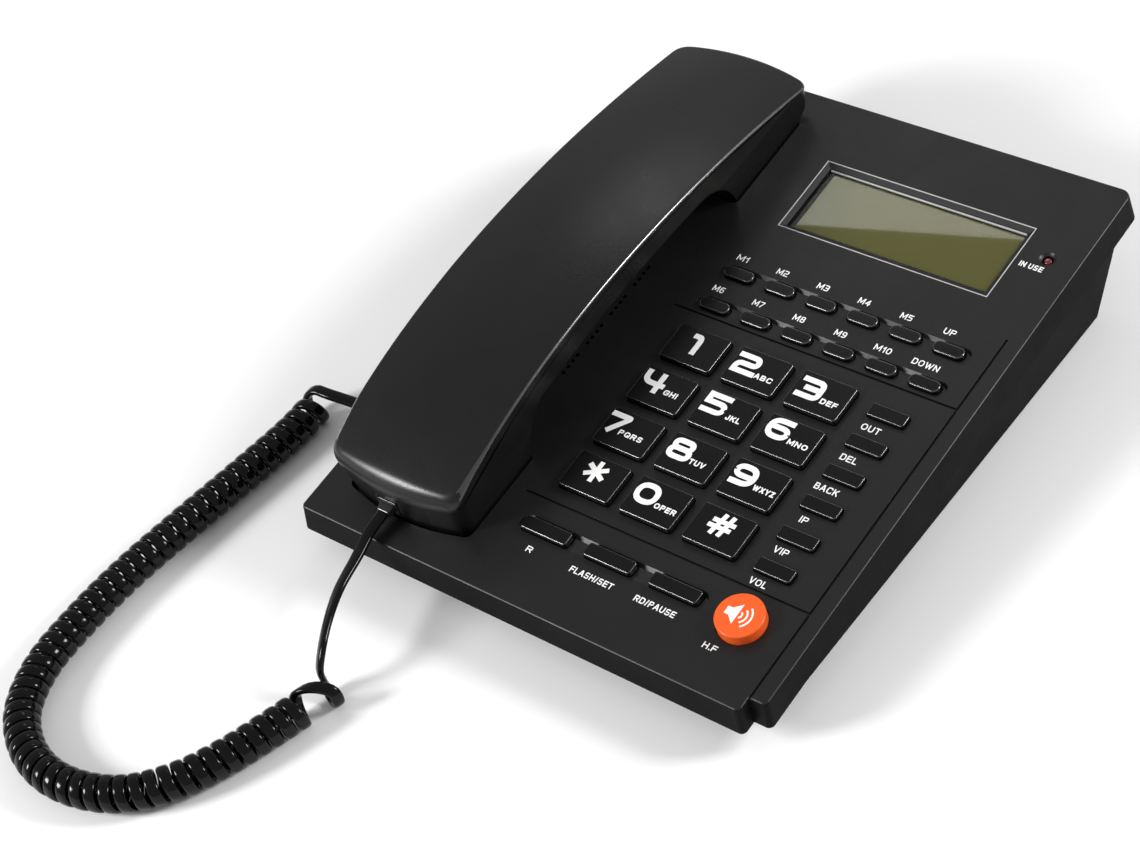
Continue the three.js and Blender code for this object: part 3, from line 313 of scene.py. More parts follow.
def add_node(tree, kind, **settings):
    """A node of a kind with its settings; socket values are given by their names."""
    node = tree.nodes.new(kind)
    for key, value in settings.items():
        if hasattr(node, key):
            setattr(node, key, value)
        else:
            node.inputs[key.replace("_", " ").title()].default_value = value
    return node


def link(tree, *wires):
    """Each wire as its node and socket, and the node and socket that it leads to."""
    for start, outlet, end, inlet in wires:
        tree.links.new(start.outputs[outlet], end.inputs[inlet])


grain_group, grain_in, grain_out = new_group(
    "moulded grain", [("Scale", 1600.0), ("Coarse Scale", 60.0)], ["Height", "Tone"])
fine = add_node(grain_group, "ShaderNodeTexNoise", detail=3.0, roughness=0.6)
cells = add_node(grain_group, "ShaderNodeTexVoronoi", feature="SMOOTH_F1")
coarse = add_node(grain_group, "ShaderNodeTexNoise", detail=4.0, roughness=0.55)
blend_height = add_node(grain_group, "ShaderNodeMath", operation="MULTIPLY_ADD")
blend_height.inputs[1].default_value = 0.6
for node, scale in ((fine, "Scale"), (cells, "Scale"), (coarse, "Coarse Scale")):
    link(grain_group, (grain_in, "Vector", node, "Vector"), (grain_in, scale, node, "Scale"))
link(grain_group, (cells, "Distance", blend_height, 0), (fine, "Fac", blend_height, 2),
     (blend_height, "Value", grain_out, "Height"), (coarse, "Fac", grain_out, "Tone"))
print("group:", grain_group.name)

# %% Node group: rubbed places
rub_group, rub_in, rub_out = new_group(
    "rubbed places", [("Scale", 25.0), ("Spread", 0.5)], ["Mask"])
patches = add_node(rub_group, "ShaderNodeTexNoise", detail=5.0, roughness=0.65, distortion=0.4)
scratch = add_node(rub_group, "ShaderNodeTexNoise", scale=900.0, detail=2.0)
above = add_node(rub_group, "ShaderNodeMath", operation="SUBTRACT")
steep = add_node(rub_group, "ShaderNodeMath", operation="MULTIPLY_ADD", use_clamp=True)
steep.inputs[1].default_value = 3.0
link(rub_group, (rub_in, "Vector", patches, "Vector"), (rub_in, "Vector", scratch, "Vector"),
     (rub_in, "Scale", patches, "Scale"), (patches, "Fac", above, 0), (rub_in, "Spread", above, 1),
     (above, "Value", steep, 0), (scratch, "Fac", steep, 2), (steep, "Value", rub_out, "Mask"))
print("group:", rub_group.name)

# %% [markdown]
# ## A material from the shared effects
#
# One function builds each plastic. What is the same all over, such as the strength of the shine,
# sits on the shader's own sockets. What changes over the surface, its tone, roughness and grain,
# comes through the groups.

# %% Moulded plastics
shader_sockets = dict(
    specular="Specular IOR Level", coat="Coat Weight", coat_rough="Coat Roughness",
    metal="Metallic", alpha="Alpha")


def moulded(name, dark, light, rough, grain=1600.0, depth=0.02, **constants):
    """A plastic between two tones and two roughnesses, with a grain of its own size and depth."""
    material = bpy.data.materials.new(name)
    material.use_nodes = True
    tree = material.node_tree
    shader = tree.nodes["Principled BSDF"]
    place = add_node(tree, "ShaderNodeTexCoord")
    texture = add_node(tree, "ShaderNodeGroup", node_tree=grain_group, scale=grain)
    rub = add_node(tree, "ShaderNodeGroup", node_tree=rub_group)
    tone = add_node(tree, "ShaderNodeMix", data_type="RGBA", a=(*dark, 1), b=(*light, 1))
    shine = add_node(tree, "ShaderNodeMapRange", to_min=rough[1], to_max=rough[0])
    bump = add_node(tree, "ShaderNodeBump", strength=0.35, distance=depth * mm)
    link(tree, (place, "Object", texture, "Vector"), (place, "Object", rub, "Vector"),
         (texture, "Tone", tone, "Factor"), (tone, "Result", shader, "Base Color"),
         (rub, "Mask", shine, "Value"), (shine, "Result", shader, "Roughness"),
         (texture, "Height", bump, "Height"), (bump, "Normal", shader, "Normal"))
    for constant, value in constants.items():
        shader.inputs[shader_sockets[constant]].default_value = value
    return material


black_plastic = moulded(
    "satin black housing", (0.0045, 0.0045, 0.0047), (0.0075, 0.0075, 0.0079), (0.38, 0.48),
    grain=1500.0, depth=0.08, specular=0.42)
handset_plastic = moulded(
    "satin black handset", (0.003, 0.003, 0.0032), (0.005, 0.005, 0.0053), (0.26, 0.35),
    grain=1900.0, depth=0.05, specular=0.42)
key_plastic = moulded(
    "smooth black keys", (0.0025, 0.0025, 0.0027), (0.0045, 0.0045, 0.0048), (0.2, 0.28),
    grain=2600.0, depth=0.02, specular=0.24)
# Upright walls: matt, and a darker black than the deck, which is painted shade.
matt_shaded_sides = moulded(
    "matt black sides with painted shade", (0.0025, 0.0025, 0.0027), (0.0045, 0.0045, 0.0048), (0.5, 0.62),
    grain=1500.0, depth=0.045, specular=0.08)
burnished = moulded(
    "burnished edges", (0.004, 0.004, 0.0042), (0.007, 0.007, 0.0073), (0.2, 0.28),
    grain=2600.0, depth=0.001, specular=1.0, coat=1.0, coat_rough=0.2)
orange_plastic = moulded(
    "orange key", (0.86, 0.105, 0.014), (0.93, 0.13, 0.02), (0.25, 0.35),
    grain=2600.0, depth=0.008, specular=0.4)
white_print = moulded(
    "white pad print", (0.9, 0.9, 0.89), (0.95, 0.95, 0.94), (0.45, 0.6),
    grain=4000.0, depth=0.004, specular=0.3)
print("plastics:", [material.name for material in bpy.data.materials if material.users])

# %% [markdown]
# ## The curly cord
#
# A telephone's curly cord is one flat cable, 4.4 mm wide and 2.4 mm thick. Most of it is wound into
# curls 12.6 mm across, and a straight end runs into each plug. The curls stand on their outer side
# on the table, along an axis that leaves the left wall, swings forward and comes back to the
# handset. Nothing is hidden here: the photograph shows the cord from end to end, so its length is
# what the curls hold. The first and last turns are pulled apart by the weight of the straight ends.
#
# The cable's section is a grid primitive's row. The path gives each row its centre and the
# direction of its wide side, which turns slowly along the straight ends, because the plugs hold
# the cable flat and the curls stand it on edge.

# %% The cord's path
cord_width = 4.4 * mm
cord_thickness = 2.4 * mm
curl_width = 4.2 * mm
coil_radius = 5.1 * mm
coil_height = coil_radius + cord_thickness / 2 + 0.1 * mm
coil_turns = 57.75
coil_steps = 24
coil_route = [
    (-131.8, -64), (-131.2, -80), (-133.6, -106.2), (-136.9, -134.2), (-139.2, -158),
    (-139.3, -182), (-136.8, -203), (-129, -219.3), (-117, -229), (-102.5, -233.4),
    (-87, -232), (-73, -225.6), (-61.8, -213.6), (-54.3, -199.5), (-48.8, -184.5),
    (-44.8, -171.8), (-41.6, -161.5)]
base_exit = [(-89.55, -60.5, 9.2), (-93.95, -60.5, 9.2), (-107.5, -60.8, 9.3), (-118, -62.2, 10.4)]
handset_route = [
    (-60.8, -113, 23.2), (-59, -122.5, 21.4), (-56.2, -135.5, 20), (-51.4, -147, 19),
    (-47.6, -155.6, 16)]


def distances(points):
    """How far each of the points lies along the line through all of them."""
    return np.concatenate([[0], np.cumsum(np.linalg.norm(np.diff(points, axis=0), axis=1))])


def resampled(points, along, marks):
    """The points at the marks along the line."""
    return np.array([np.interp(marks, along, points[:, axis]) for axis in range(3)]).T


def unit(rows):
    """Each row at a length of one."""
    return rows / np.linalg.norm(rows, axis=1)[:, None]


def smooth_route(places, spacing):
    """Evenly spaced points on a centripetal Catmull-Rom curve through the places, in metres."""
    places = np.array(places, float) * mm
    knots = np.vstack([2 * places[0] - places[1], places, 2 * places[-1] - places[-2]])
    fine = []
    for a, b, c, d in zip(knots, knots[1:], knots[2:], knots[3:]):
        steps = np.sqrt([np.linalg.norm(b - a), np.linalg.norm(c - b), np.linalg.norm(d - c)])
        t0, t1, t2, t3 = np.cumsum([0, *steps])
        t = np.linspace(t1, t2, 60, endpoint=False)[:, None]
        ab = (t1 - t) / (t1 - t0) * a + (t - t0) / (t1 - t0) * b
        bc = (t2 - t) / (t2 - t1) * b + (t - t1) / (t2 - t1) * c
        cd = (t3 - t) / (t3 - t2) * c + (t - t2) / (t3 - t2) * d
        abc = (t2 - t) / (t2 - t0) * ab + (t - t0) / (t2 - t0) * bc
        bcd = (t3 - t) / (t3 - t1) * bc + (t - t1) / (t3 - t1) * cd
        fine.extend((t2 - t) / (t2 - t1) * abc + (t - t1) / (t2 - t1) * bcd)
    fine = np.array([*fine, places[-1]])
    along = distances(fine)
    marks = np.linspace(0, along[-1], max(2, round(along[-1] / spacing) + 1))
    return resampled(fine, along, marks)


def coil_path():
    """Centre and wide direction of every row of the curls, from the base's end to the handset's."""
    axis = smooth_route([(x, y, coil_height / mm) for x, y in coil_route], 0.5 * mm)
    along = distances(axis)
    turn = (np.arange(round(coil_turns * coil_steps)) + 0.5) / coil_steps
    far_slack = np.maximum(0, 1 - turn / 1.5) * 0.4
    near_slack = np.maximum(0, 1 - (coil_turns - turn) / 1.5) * 0.9
    marks = np.concatenate([[0], np.cumsum(1 + 2 * far_slack + 2 * near_slack)])
    marks *= along[-1] / marks[-1]
    point = resampled(axis, along, marks)
    tangent = unit(resampled(np.gradient(axis, axis=0), along, marks))
    up = np.array([0, 0, 1.0])
    across = np.cross(tangent, up)
    angle = 2 * math.pi * np.arange(len(marks))[:, None] / coil_steps
    radial = np.cos(angle) * up + np.sin(angle) * across
    travel = np.cross(tangent, radial)
    last = np.clip(np.arange(len(marks)) / coil_steps - (coil_turns - 1), 0, 1)[:, None]
    ease = lambda share: np.clip(share, 0, 1) ** 2 * (3 - 2 * np.clip(share, 0, 1))
    last_run = marks[-1] - np.interp(coil_turns - 1, np.arange(len(marks)) / coil_steps, marks)
    clear = last_run * (ease(last / 0.45) - last)
    turned = math.radians(75) * ease((last - 0.72) / 0.28)
    wide = tangent * np.cos(turned) + radial * np.sin(turned)
    return point + coil_radius * radial + clear * tangent, wide, travel


curls, curl_wide, curl_travel = coil_path()
print("curls:", round(len(curls) / coil_steps, 2), "turns")

# %% The straight ends
def straight_end(places, wide_start, wide_end):
    """Centres and wide directions along a straight end, turning evenly from one to the other."""
    centres = smooth_route(places, 1.2 * mm)
    forward = unit(np.gradient(centres, axis=0))
    wide = [np.array(wide_start, float)]
    for before, after in zip(forward, forward[1:]):
        turned = wide[-1] - after * (wide[-1] @ after)
        wide.append(turned / np.linalg.norm(turned))
    last = Vector(wide[-1])
    goal = Vector(wide_end)
    if last.dot(goal) < 0:
        goal = -goal
    goal -= Vector(forward[-1]) * goal.dot(Vector(forward[-1]))
    twist = math.atan2(last.cross(goal).dot(Vector(forward[-1])), last.dot(goal))
    shares = np.linspace(0, 1, len(centres))
    turned = np.array([
        Quaternion(Vector(ahead), twist * share * share * (3 - 2 * share)) @ Vector(side)
        for ahead, side, share in zip(forward, wide, shares)])
    return centres, -turned if turned[-1] @ wide_end < 0 else turned


coil_start = curls[0] - curl_travel[0] * cord_width
coil_finish = curls[-1] + curl_travel[-1] * cord_width
deck_side = DECK.to_3x3() @ Vector((1, 0, 0))
plug_mouth = [DECK @ (Vector((33, 11.6 - depth, 4.9)) * mm) for depth in (0.8, 5.2)]
base_centres, base_wide = straight_end(
    [*base_exit, tuple(coil_start / mm), tuple(curls[0] / mm)], (0, 1, 0), curl_wide[0])
hand_centres, hand_wide = straight_end(
    [*(tuple(place / mm) for place in plug_mouth), *handset_route,
     tuple(coil_finish / mm), tuple(curls[-1] / mm)], deck_side, curl_wide[-1])
cord_centres = np.vstack([base_centres[:-1], curls, hand_centres[-2::-1]])
cord_wides = np.vstack([base_wide[:-1], curl_wide, hand_wide[-2::-1]])
cord_widths = np.concatenate([
    np.full(len(base_centres) - 1, cord_width), np.full(len(curls), curl_width),
    np.full(len(hand_centres) - 1, cord_width)])
ramp = np.convolve(np.pad(cord_widths, 6, mode="edge"), np.ones(13) / 13, mode="valid")

# %% The cord's skin
def flat_section(width, thickness, points=18):
    """A flat cable's section: straight flanks with round shoulders and a faint waist."""
    outline = []
    for index in range(points):
        angle = 2 * math.pi * index / points
        c, s = math.cos(angle), math.sin(angle)
        x = math.copysign(abs(c) ** 0.75, c) * width / 2
        z = math.copysign(abs(s) ** 0.75, s) * thickness / 2
        z *= 1 - 0.07 * math.exp(-(x / (width * 0.16)) ** 2)
        outline.append((x, z))
    return outline


forward = unit(np.gradient(cord_centres, axis=0))
rings = []
for centre, ahead, side, width in zip(cord_centres, forward, cord_wides, ramp):
    side = side - ahead * (side @ ahead)
    side /= np.linalg.norm(side)
    thick = np.cross(ahead, side)
    rings.append([tuple(centre + side * x + thick * z)
                  for x, z in flat_section(width, cord_thickness)])
cord = wrapped_grid("curly_cord", rings, unit=1)
print("cord skin:", len(cord.data.vertices), "points")

# %% [markdown]
# The cord's vinyl is the glossiest thing on the table. It was drawn through a die, and the waist
# between its two pairs of wires catches a second highlight.

# %% Cord vinyl
cord_vinyl = moulded(
    "glossy black vinyl", (0.002, 0.002, 0.0022), (0.0034, 0.0034, 0.0036), (0.1, 0.17),
    grain=500.0, depth=0.012, specular=0.15, coat=0.12, coat_rough=0.12)
pick(dressed(cord, cord_vinyl))
bpy.ops.object.shade_smooth_by_angle(angle=math.radians(60))

# %% [markdown]
# Each end of the cord is a small clear-cut block with a tapered strain relief and four gilt
# contacts. Its own frame has x across, y up and z out of the socket, as its solid has.

# %% Plug and socket frames
def looking_out(place, facing, up):
    """The frame of a socket: x across, y up and z out of its mouth."""
    facing, up = Vector(facing), Vector(up)
    turn = Matrix((up.cross(facing), up, facing)).transposed().to_4x4()
    return Matrix.Translation(Vector(place) * mm) @ turn


side_mouth = looking_out((4.5, 53, 9.2), (-1, 0, 0), (0, 0, 1))
hand_mouth = looking_out((33, 11.6, 4.9), (0, -1, 0), (0, 0, 1))
plug_plastic = moulded(
    "polished plug", (0.014, 0.014, 0.015), (0.02, 0.02, 0.022), (0.12, 0.22),
    grain=900.0, depth=0.004, specular=0.5)
gilt = moulded("gilt contact", (0.75, 0.5, 0.16), (0.9, 0.66, 0.28), (0.2, 0.34), depth=0.002,
               metal=1.0)


def plug(name, frame_of_socket, body, node):
    """A modular plug: block, tapered strain relief and contacts."""
    block = boxed(name, (-3.8, 3.8), (-2.9, 2.9), (-10.5, 0.5), 0.35)
    contacts = [boxed("contact", (x - 0.16, x + 0.16), (2.85, 2.98), (-10.2, -6.4))
                for x in (-1.53, -0.51, 0.51, 1.53)]
    foot, reach = 0.3, 3.4
    relief = boxed("strain relief", (-3, 3), (-2, 2), (foot, foot + reach), 0.6)
    for vert in relief.data.vertices:
        share = (vert.co.z / mm - foot) / reach
        vert.co.x *= 1 - 0.2 * share
        vert.co.y *= 1 - 0.32 * share
    whole = joined([dressed(block, plug_plastic), dressed(relief, plug_plastic),
                    *[dressed(contact, gilt) for contact in contacts]])
    return finished(whole, frame_of_socket, body, [node])


base_plug = plug("plug_at_base", BASE @ side_mouth, "base", "base_plug")
handset_plug = plug("plug_at_handset", DECK @ hand_mouth, "handset", "handset_plug")
print("plugs:", base_plug.name, handset_plug.name)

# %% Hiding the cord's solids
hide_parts("cord_curls", "cord_base_lead", "cord_handset_lead")
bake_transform(cord)
print("cord declared,", len(cord_centres), "path points")

# %% [markdown]
# ## The upper housing
#
# The deck is one plate with a rim all round, 10 mm deep, and a narrow rail on the right that starts
# 5.5 mm behind the front edge. The plate has two wells for the handset's cups, openings for 34
# keys, a pocket for the display, three shallow troughs that give the small keys room for a finger,
# a dimple for the lamp, a grille for the loudspeaker and three fine grooves that divide the fields.
# It is made as the mould makes it: a plate, hollowed from below, then cut by everything above.

# %% The plate and its rim
plate = 2.2
rim_height = 10
rail_left = deck_width - 6.3


def drafted(block, z, grow, limits, shift=0):
    """Spread a block's outline at one height from its limits, and move it along the slope."""
    left, right, front, rear = limits
    width, depth = right - left, rear - front
    with editing(block):
        select_where(block, "VERT", at_height(z))
        bpy.ops.transform.resize(
            value=((width + 2 * grow) / width, (depth + 2 * grow) / depth, 1),
            center_override=((left + right) / 2 * mm, (front + rear) / 2 * mm, z * mm))
        bpy.ops.transform.translate(value=(0, shift * mm, 0))


deck_limits = (0, deck_width, 0, deck_depth)
upper = outline_block("upper_housing_shell", [
    (0, 0, 2), (rail_left, 0, 2), (rail_left, 5.5, 0), (deck_width, 5.5, 2),
    (deck_width, deck_depth, 4), (0, deck_depth, 4)], -rim_height, 0)
drafted(upper, -rim_height, 1, deck_limits, -rim_height * math.tan(deck_slope))
round_rim(upper, 0, 0.7)

inside = deck_width - 2.4
hollow = outline_block("hollow", [
    (2.4, 2.4, 2), (inside, 2.4, 18),
    (inside, deck_depth - 2.4, 4), (2.4, deck_depth - 2.4, 4)],
    -rim_height - 1, -plate)
drafted(hollow, -rim_height - 1, 0.9, deck_limits, -(rim_height - plate) * math.tan(deck_slope))
cut(upper, hollow)
print("shell:", len(upper.data.polygons), "faces")

# %% [markdown]
# The wells are open tubs that hang under the plate. Their floors lie 3.8 mm under the deck and
# their corners are square enough for the handset's cups. The ear well has a sleeve for the hook
# plunger.

# %% Wells for the handset's cups
handset_x = 36.5
wells = [(12.1, 50, 4.2), (173.7, 213, 0)]


def well_outline(start, end, bow, grow):
    """A well's outline; its front edge bends back at both ends as the handset's does."""
    half, round_off = 26.4 + grow, 2 + grow
    shares = np.linspace(-1, 1, 13) if bow else (-1, 1)
    front = [(handset_x + half * share, start - 1.4 - grow + bow * share ** 2,
              round_off if abs(share) == 1 else 0) for share in shares]
    rear = end + 1.4 + grow
    return front + [(handset_x + half, rear, round_off), (handset_x - half, rear, round_off)]


def hook_outline(grow):
    return rectangle(handset_x - 5.7 - grow, handset_x + 5.7 + grow,
                     177 - grow, 183.4 + grow, 1.2 + grow)


tubs = [outline_block("tub", well_outline(*well, 2), -5.8, -1.1) for well in wells]
tubs.append(outline_block("sleeve", hook_outline(1.7), -9.8, -4.8))
fuse(upper, *tubs)
cut(upper, *[outline_block("well", well_outline(*well, 0), -3.8, 1) for well in wells])
cut(upper, outline_block("hook hole", hook_outline(0.3), -11, -3))
print("with wells:", len(upper.data.polygons), "faces")

# %% [markdown]
# ## The keys' places
#
# Twelve dial keys, three function keys, twelve memory keys, six side keys and one round key. All
# are written down once here, in rows, because the openings, the caps and the words all use them.

# %% Rows of keys
def key_row(names, front, left, pitch, width, depth, proud, kind):
    """Each key as its name, its limits on the deck, its height over it and its kind."""
    return [dict(name=name, left=left + index * pitch, front=front, width=width, depth=depth,
                 proud=proud, kind=kind) for index, name in enumerate(names.split())]


dial = dict(left=78, pitch=25, width=20.3, depth=14.8, proud=2.3, kind="dial")
memory = dict(left=77.25, pitch=16.58, width=11.5, depth=4.6, proud=1.4, kind="memory")
function = dict(left=76.7, pitch=25.85, width=18.6, depth=5, proud=2, kind="function")
side = dict(left=155.3, pitch=0, width=13.8, depth=5, proud=1.5, kind="side")
keys = []
for row, names in enumerate(["star 0 hash", "7 8 9", "4 5 6", "1 2 3"]):
    keys += key_row(names, front=44.9 + 19.55 * row, **dial)
for row, names in enumerate(["m6 m7 m8 m9 m10 down", "m1 m2 m3 m4 m5 up"]):
    keys += key_row(names, front=127.5 + 15 * row, **memory)
keys += key_row("r flash redial", front=25.5, **function)
for row, name in enumerate(["vol", "vip", "ip", "back", "del", "out"]):
    keys += key_row(name, front=45 + 13.25 * row, **side)
key_radius = dict(dial=0.9, memory=2.1, function=0.9, side=0.9)
hands_free = Vector((163.1, 27.4))
print("keys:", len(keys) + 1)


def key_outline(key, grow):
    return rectangle(
        key["left"] - grow, key["left"] + key["width"] + grow, key["front"] - grow,
        key["front"] + key["depth"] + grow, key_radius[key["kind"]] + grow)


# %% Shallow cuts: troughs, grooves, display pocket and dimple
def trough(left, right, rear):
    """A wedge, deepest along its slanted rear wall, that runs out level with the deck in front."""
    front = rear - 6.4
    outline = rectangle(left - 2, right + 2, front, rear, 3)
    wedge = outline_block("trough", outline, 0, 1)
    for vert in wedge.data.vertices:
        share = (vert.co.y / mm - front) / (rear - front)
        if vert.co.z < mm / 2:
            vert.co.z = -1 * mm * share
            vert.co.y -= 1.2 * mm * share
        else:
            vert.co.y += 1.2 * mm * share
    return wedge


def row_ends(row, count):
    """Where a row of so many keys starts and ends."""
    return row["left"], row["left"] + (count - 1) * row["pitch"] + row["width"]


shallow = [trough(*row_ends(memory, 6), rear) for rear in (133.4, 148.4)]
shallow.append(trough(*row_ends(function, 3), 31.8))

groove, half = (-0.6, 1), 0.4
for y in (125.3, 39):
    shallow.append(boxed("groove", (69, rail_left + half), (y - half, y + half), groove))
shallow.append(boxed("groove", (rail_left, rail_left + 2 * half), (-2, 156.5), groove))

pocket_limits = (82.4, 165, 169.75, 201.75)
pocket = outline_block("pocket", rectangle(*pocket_limits), -1.2, 0)
drafted(pocket, -1.2, -1.9, pocket_limits)
with editing(pocket):
    select_where(pocket, "FACE", at_height(0))
    bpy.ops.mesh.extrude_region_move(TRANSFORM_OT_translate={"value": (0, 0, mm)})
shallow.append(pocket)

lamp = Vector((175.2, 191.6))
deselect()
bpy.ops.mesh.primitive_uv_sphere_add(
    segments=32, ring_count=24, radius=4 * mm, location=(lamp.x * mm, lamp.y * mm, 2.7 * mm))
bpy.ops.object.transform_apply(location=True, rotation=False, scale=False)
shallow.append(bpy.context.object)
for cutter in shallow:
    cut(upper, cutter)
print("with shallow cuts:", len(upper.data.polygons), "faces")

# %% Through cuts: key openings, display, lamp and loudspeaker grille
def drilled(x, y, radius, low, high, facets=20):
    """A cylinder primitive used as a drill."""
    deselect()
    bpy.ops.mesh.primitive_cylinder_add(
        vertices=facets, radius=radius * mm, depth=(high - low) * mm,
        location=(x * mm, y * mm, (low + high) / 2 * mm))
    bpy.ops.object.transform_apply(location=True, rotation=False, scale=False)
    return bpy.context.object


through = [outline_block("opening", key_outline(key, 0.35), -4, 2, 4) for key in keys]
through.append(drilled(hands_free.x, hands_free.y, 8.55, -4, 2, 48))
through.append(drilled(lamp.x, lamp.y, 1.95, -4, 2, 24))
through.append(outline_block(
    "window hole", rectangle(84.3, 163.1, 171.65, 199.85), -4, 2))
for column in range(4):
    for group in range(4):
        for hole in range(4):
            through.append(drilled(
                25.6 + column * 8.3, 84.7 + group * 14.1 + hole * 2.75, 0.75, -4, 2, 16))
cut(upper, *through)
print("with openings:", len(upper.data.polygons), "faces")

# %% [markdown]
# A moulded edge is never sharp. A fine bevel on every edge that turns sharply gives each opening
# the thin bright line that the photograph shows round the keys and the display. The mould is
# polished there, and matt on upright walls, so bevels and walls have finishes of their own. The
# matt walls are also a darker black than the deck: painted shade.

# %% Fine edges
def fine_edges(piece, width, steps=2, angle=40, finishes=()):
    """Merge what the cuts left in one plane, then bevel every sharp edge a little.

    Of three finishes the second goes on the bevels and the third on the upright walls.
    """
    with editing(dressed(piece, *finishes)):
        bpy.ops.mesh.select_all(action="SELECT")
        bpy.ops.mesh.remove_doubles(threshold=2e-6)
        bpy.ops.mesh.dissolve_limited(angle_limit=math.radians(0.2))
    step = piece.modifiers.new("edges", "BEVEL")
    step.width = width * mm
    step.segments = steps
    step.limit_method = "ANGLE"
    step.angle_limit = math.radians(angle)
    step.use_clamp_overlap = True
    # With finishes, upright faces take the third, whose darker black is painted shade.
    if finishes:
        for face in piece.data.polygons:
            face.material_index = 2 if abs(face.normal.z) < 0.5 else 0
        step.material = 1
    bpy.ops.object.modifier_apply(modifier=step.name)


housing_finishes = [black_plastic, burnished, matt_shaded_sides]
fine_edges(upper, 0.2, angle=31, finishes=housing_finishes)
finished(upper, DECK, "base", ["upper_housing"])
print("upper housing:", len(upper.data.polygons), "faces")

# %% [markdown]
# ## The key caps
#
# A cap is a block with a soft top edge, 2.3 mm proud for the dial keys, on a flange that keeps it
# under the deck. Each kind of key is modelled once. Its copies get a mesh of their own, because
# every key moves by itself and carries its own print.

# %% Caps
def cap_form(kind, width, depth, proud, radius, rim):
    """One key cap with its front left corner at the origin."""
    cap = outline_block(kind, rectangle(0, width, 0, depth, radius), -2.5, proud, 5)
    round_rim(dressed(cap, key_plastic, burnished), proud, rim, 3, finish=1)
    brim = 1.2
    outline = rectangle(-brim, width + brim, -brim, depth + brim, radius + brim)
    return fuse(cap, outline_block("flange", outline, -4, -2.5, 5))


cap_forms = {}
for key in keys:
    if key["kind"] not in cap_forms:
        rim = 0.45 if key["kind"] == "memory" else 0.3
        cap_forms[key["kind"]] = cap_form(
            key["kind"], key["width"], key["depth"], key["proud"], key_radius[key["kind"]], rim)
print("cap forms:", sorted(cap_forms))

# %% [markdown]
# ## Figures and words
#
# The dial keys carry what every telephone's do: ten figures, a star, a hash and small letters. The
# figures are squarish and very bold, so they are drawn as strokes: an open curve with a round bevel
# gives the stroke its width, and the mesh is then pressed flat to the thickness of ink. Each stroke
# lies a few thousandths of a millimetre over the one before, so that no two share a surface.

# %% Strokes
def bent_stroke(points, closed):
    """The corners of a stroke, each replaced by an arc of the reach that the corner names."""
    count = len(points)
    places = [Vector(point[:2]) for point in points]
    bent = []
    for index, point in enumerate(points):
        here = places[index]
        if len(point) < 3 or (not closed and index in (0, count - 1)):
            bent.append(here)
            continue
        back, ahead = places[index - 1] - here, places[(index + 1) % count] - here
        share = 0.5 if closed else 1
        reach = [min(point[2], side.length * share) for side in (back, ahead)]
        start, stop = here + back.normalized() * reach[0], here + ahead.normalized() * reach[1]
        bent += [start * (1 - t) ** 2 + here * 2 * t * (1 - t) + stop * t ** 2
                 for t in (0, 0.17, 0.33, 0.5, 0.67, 0.83, 1)]
    return bent


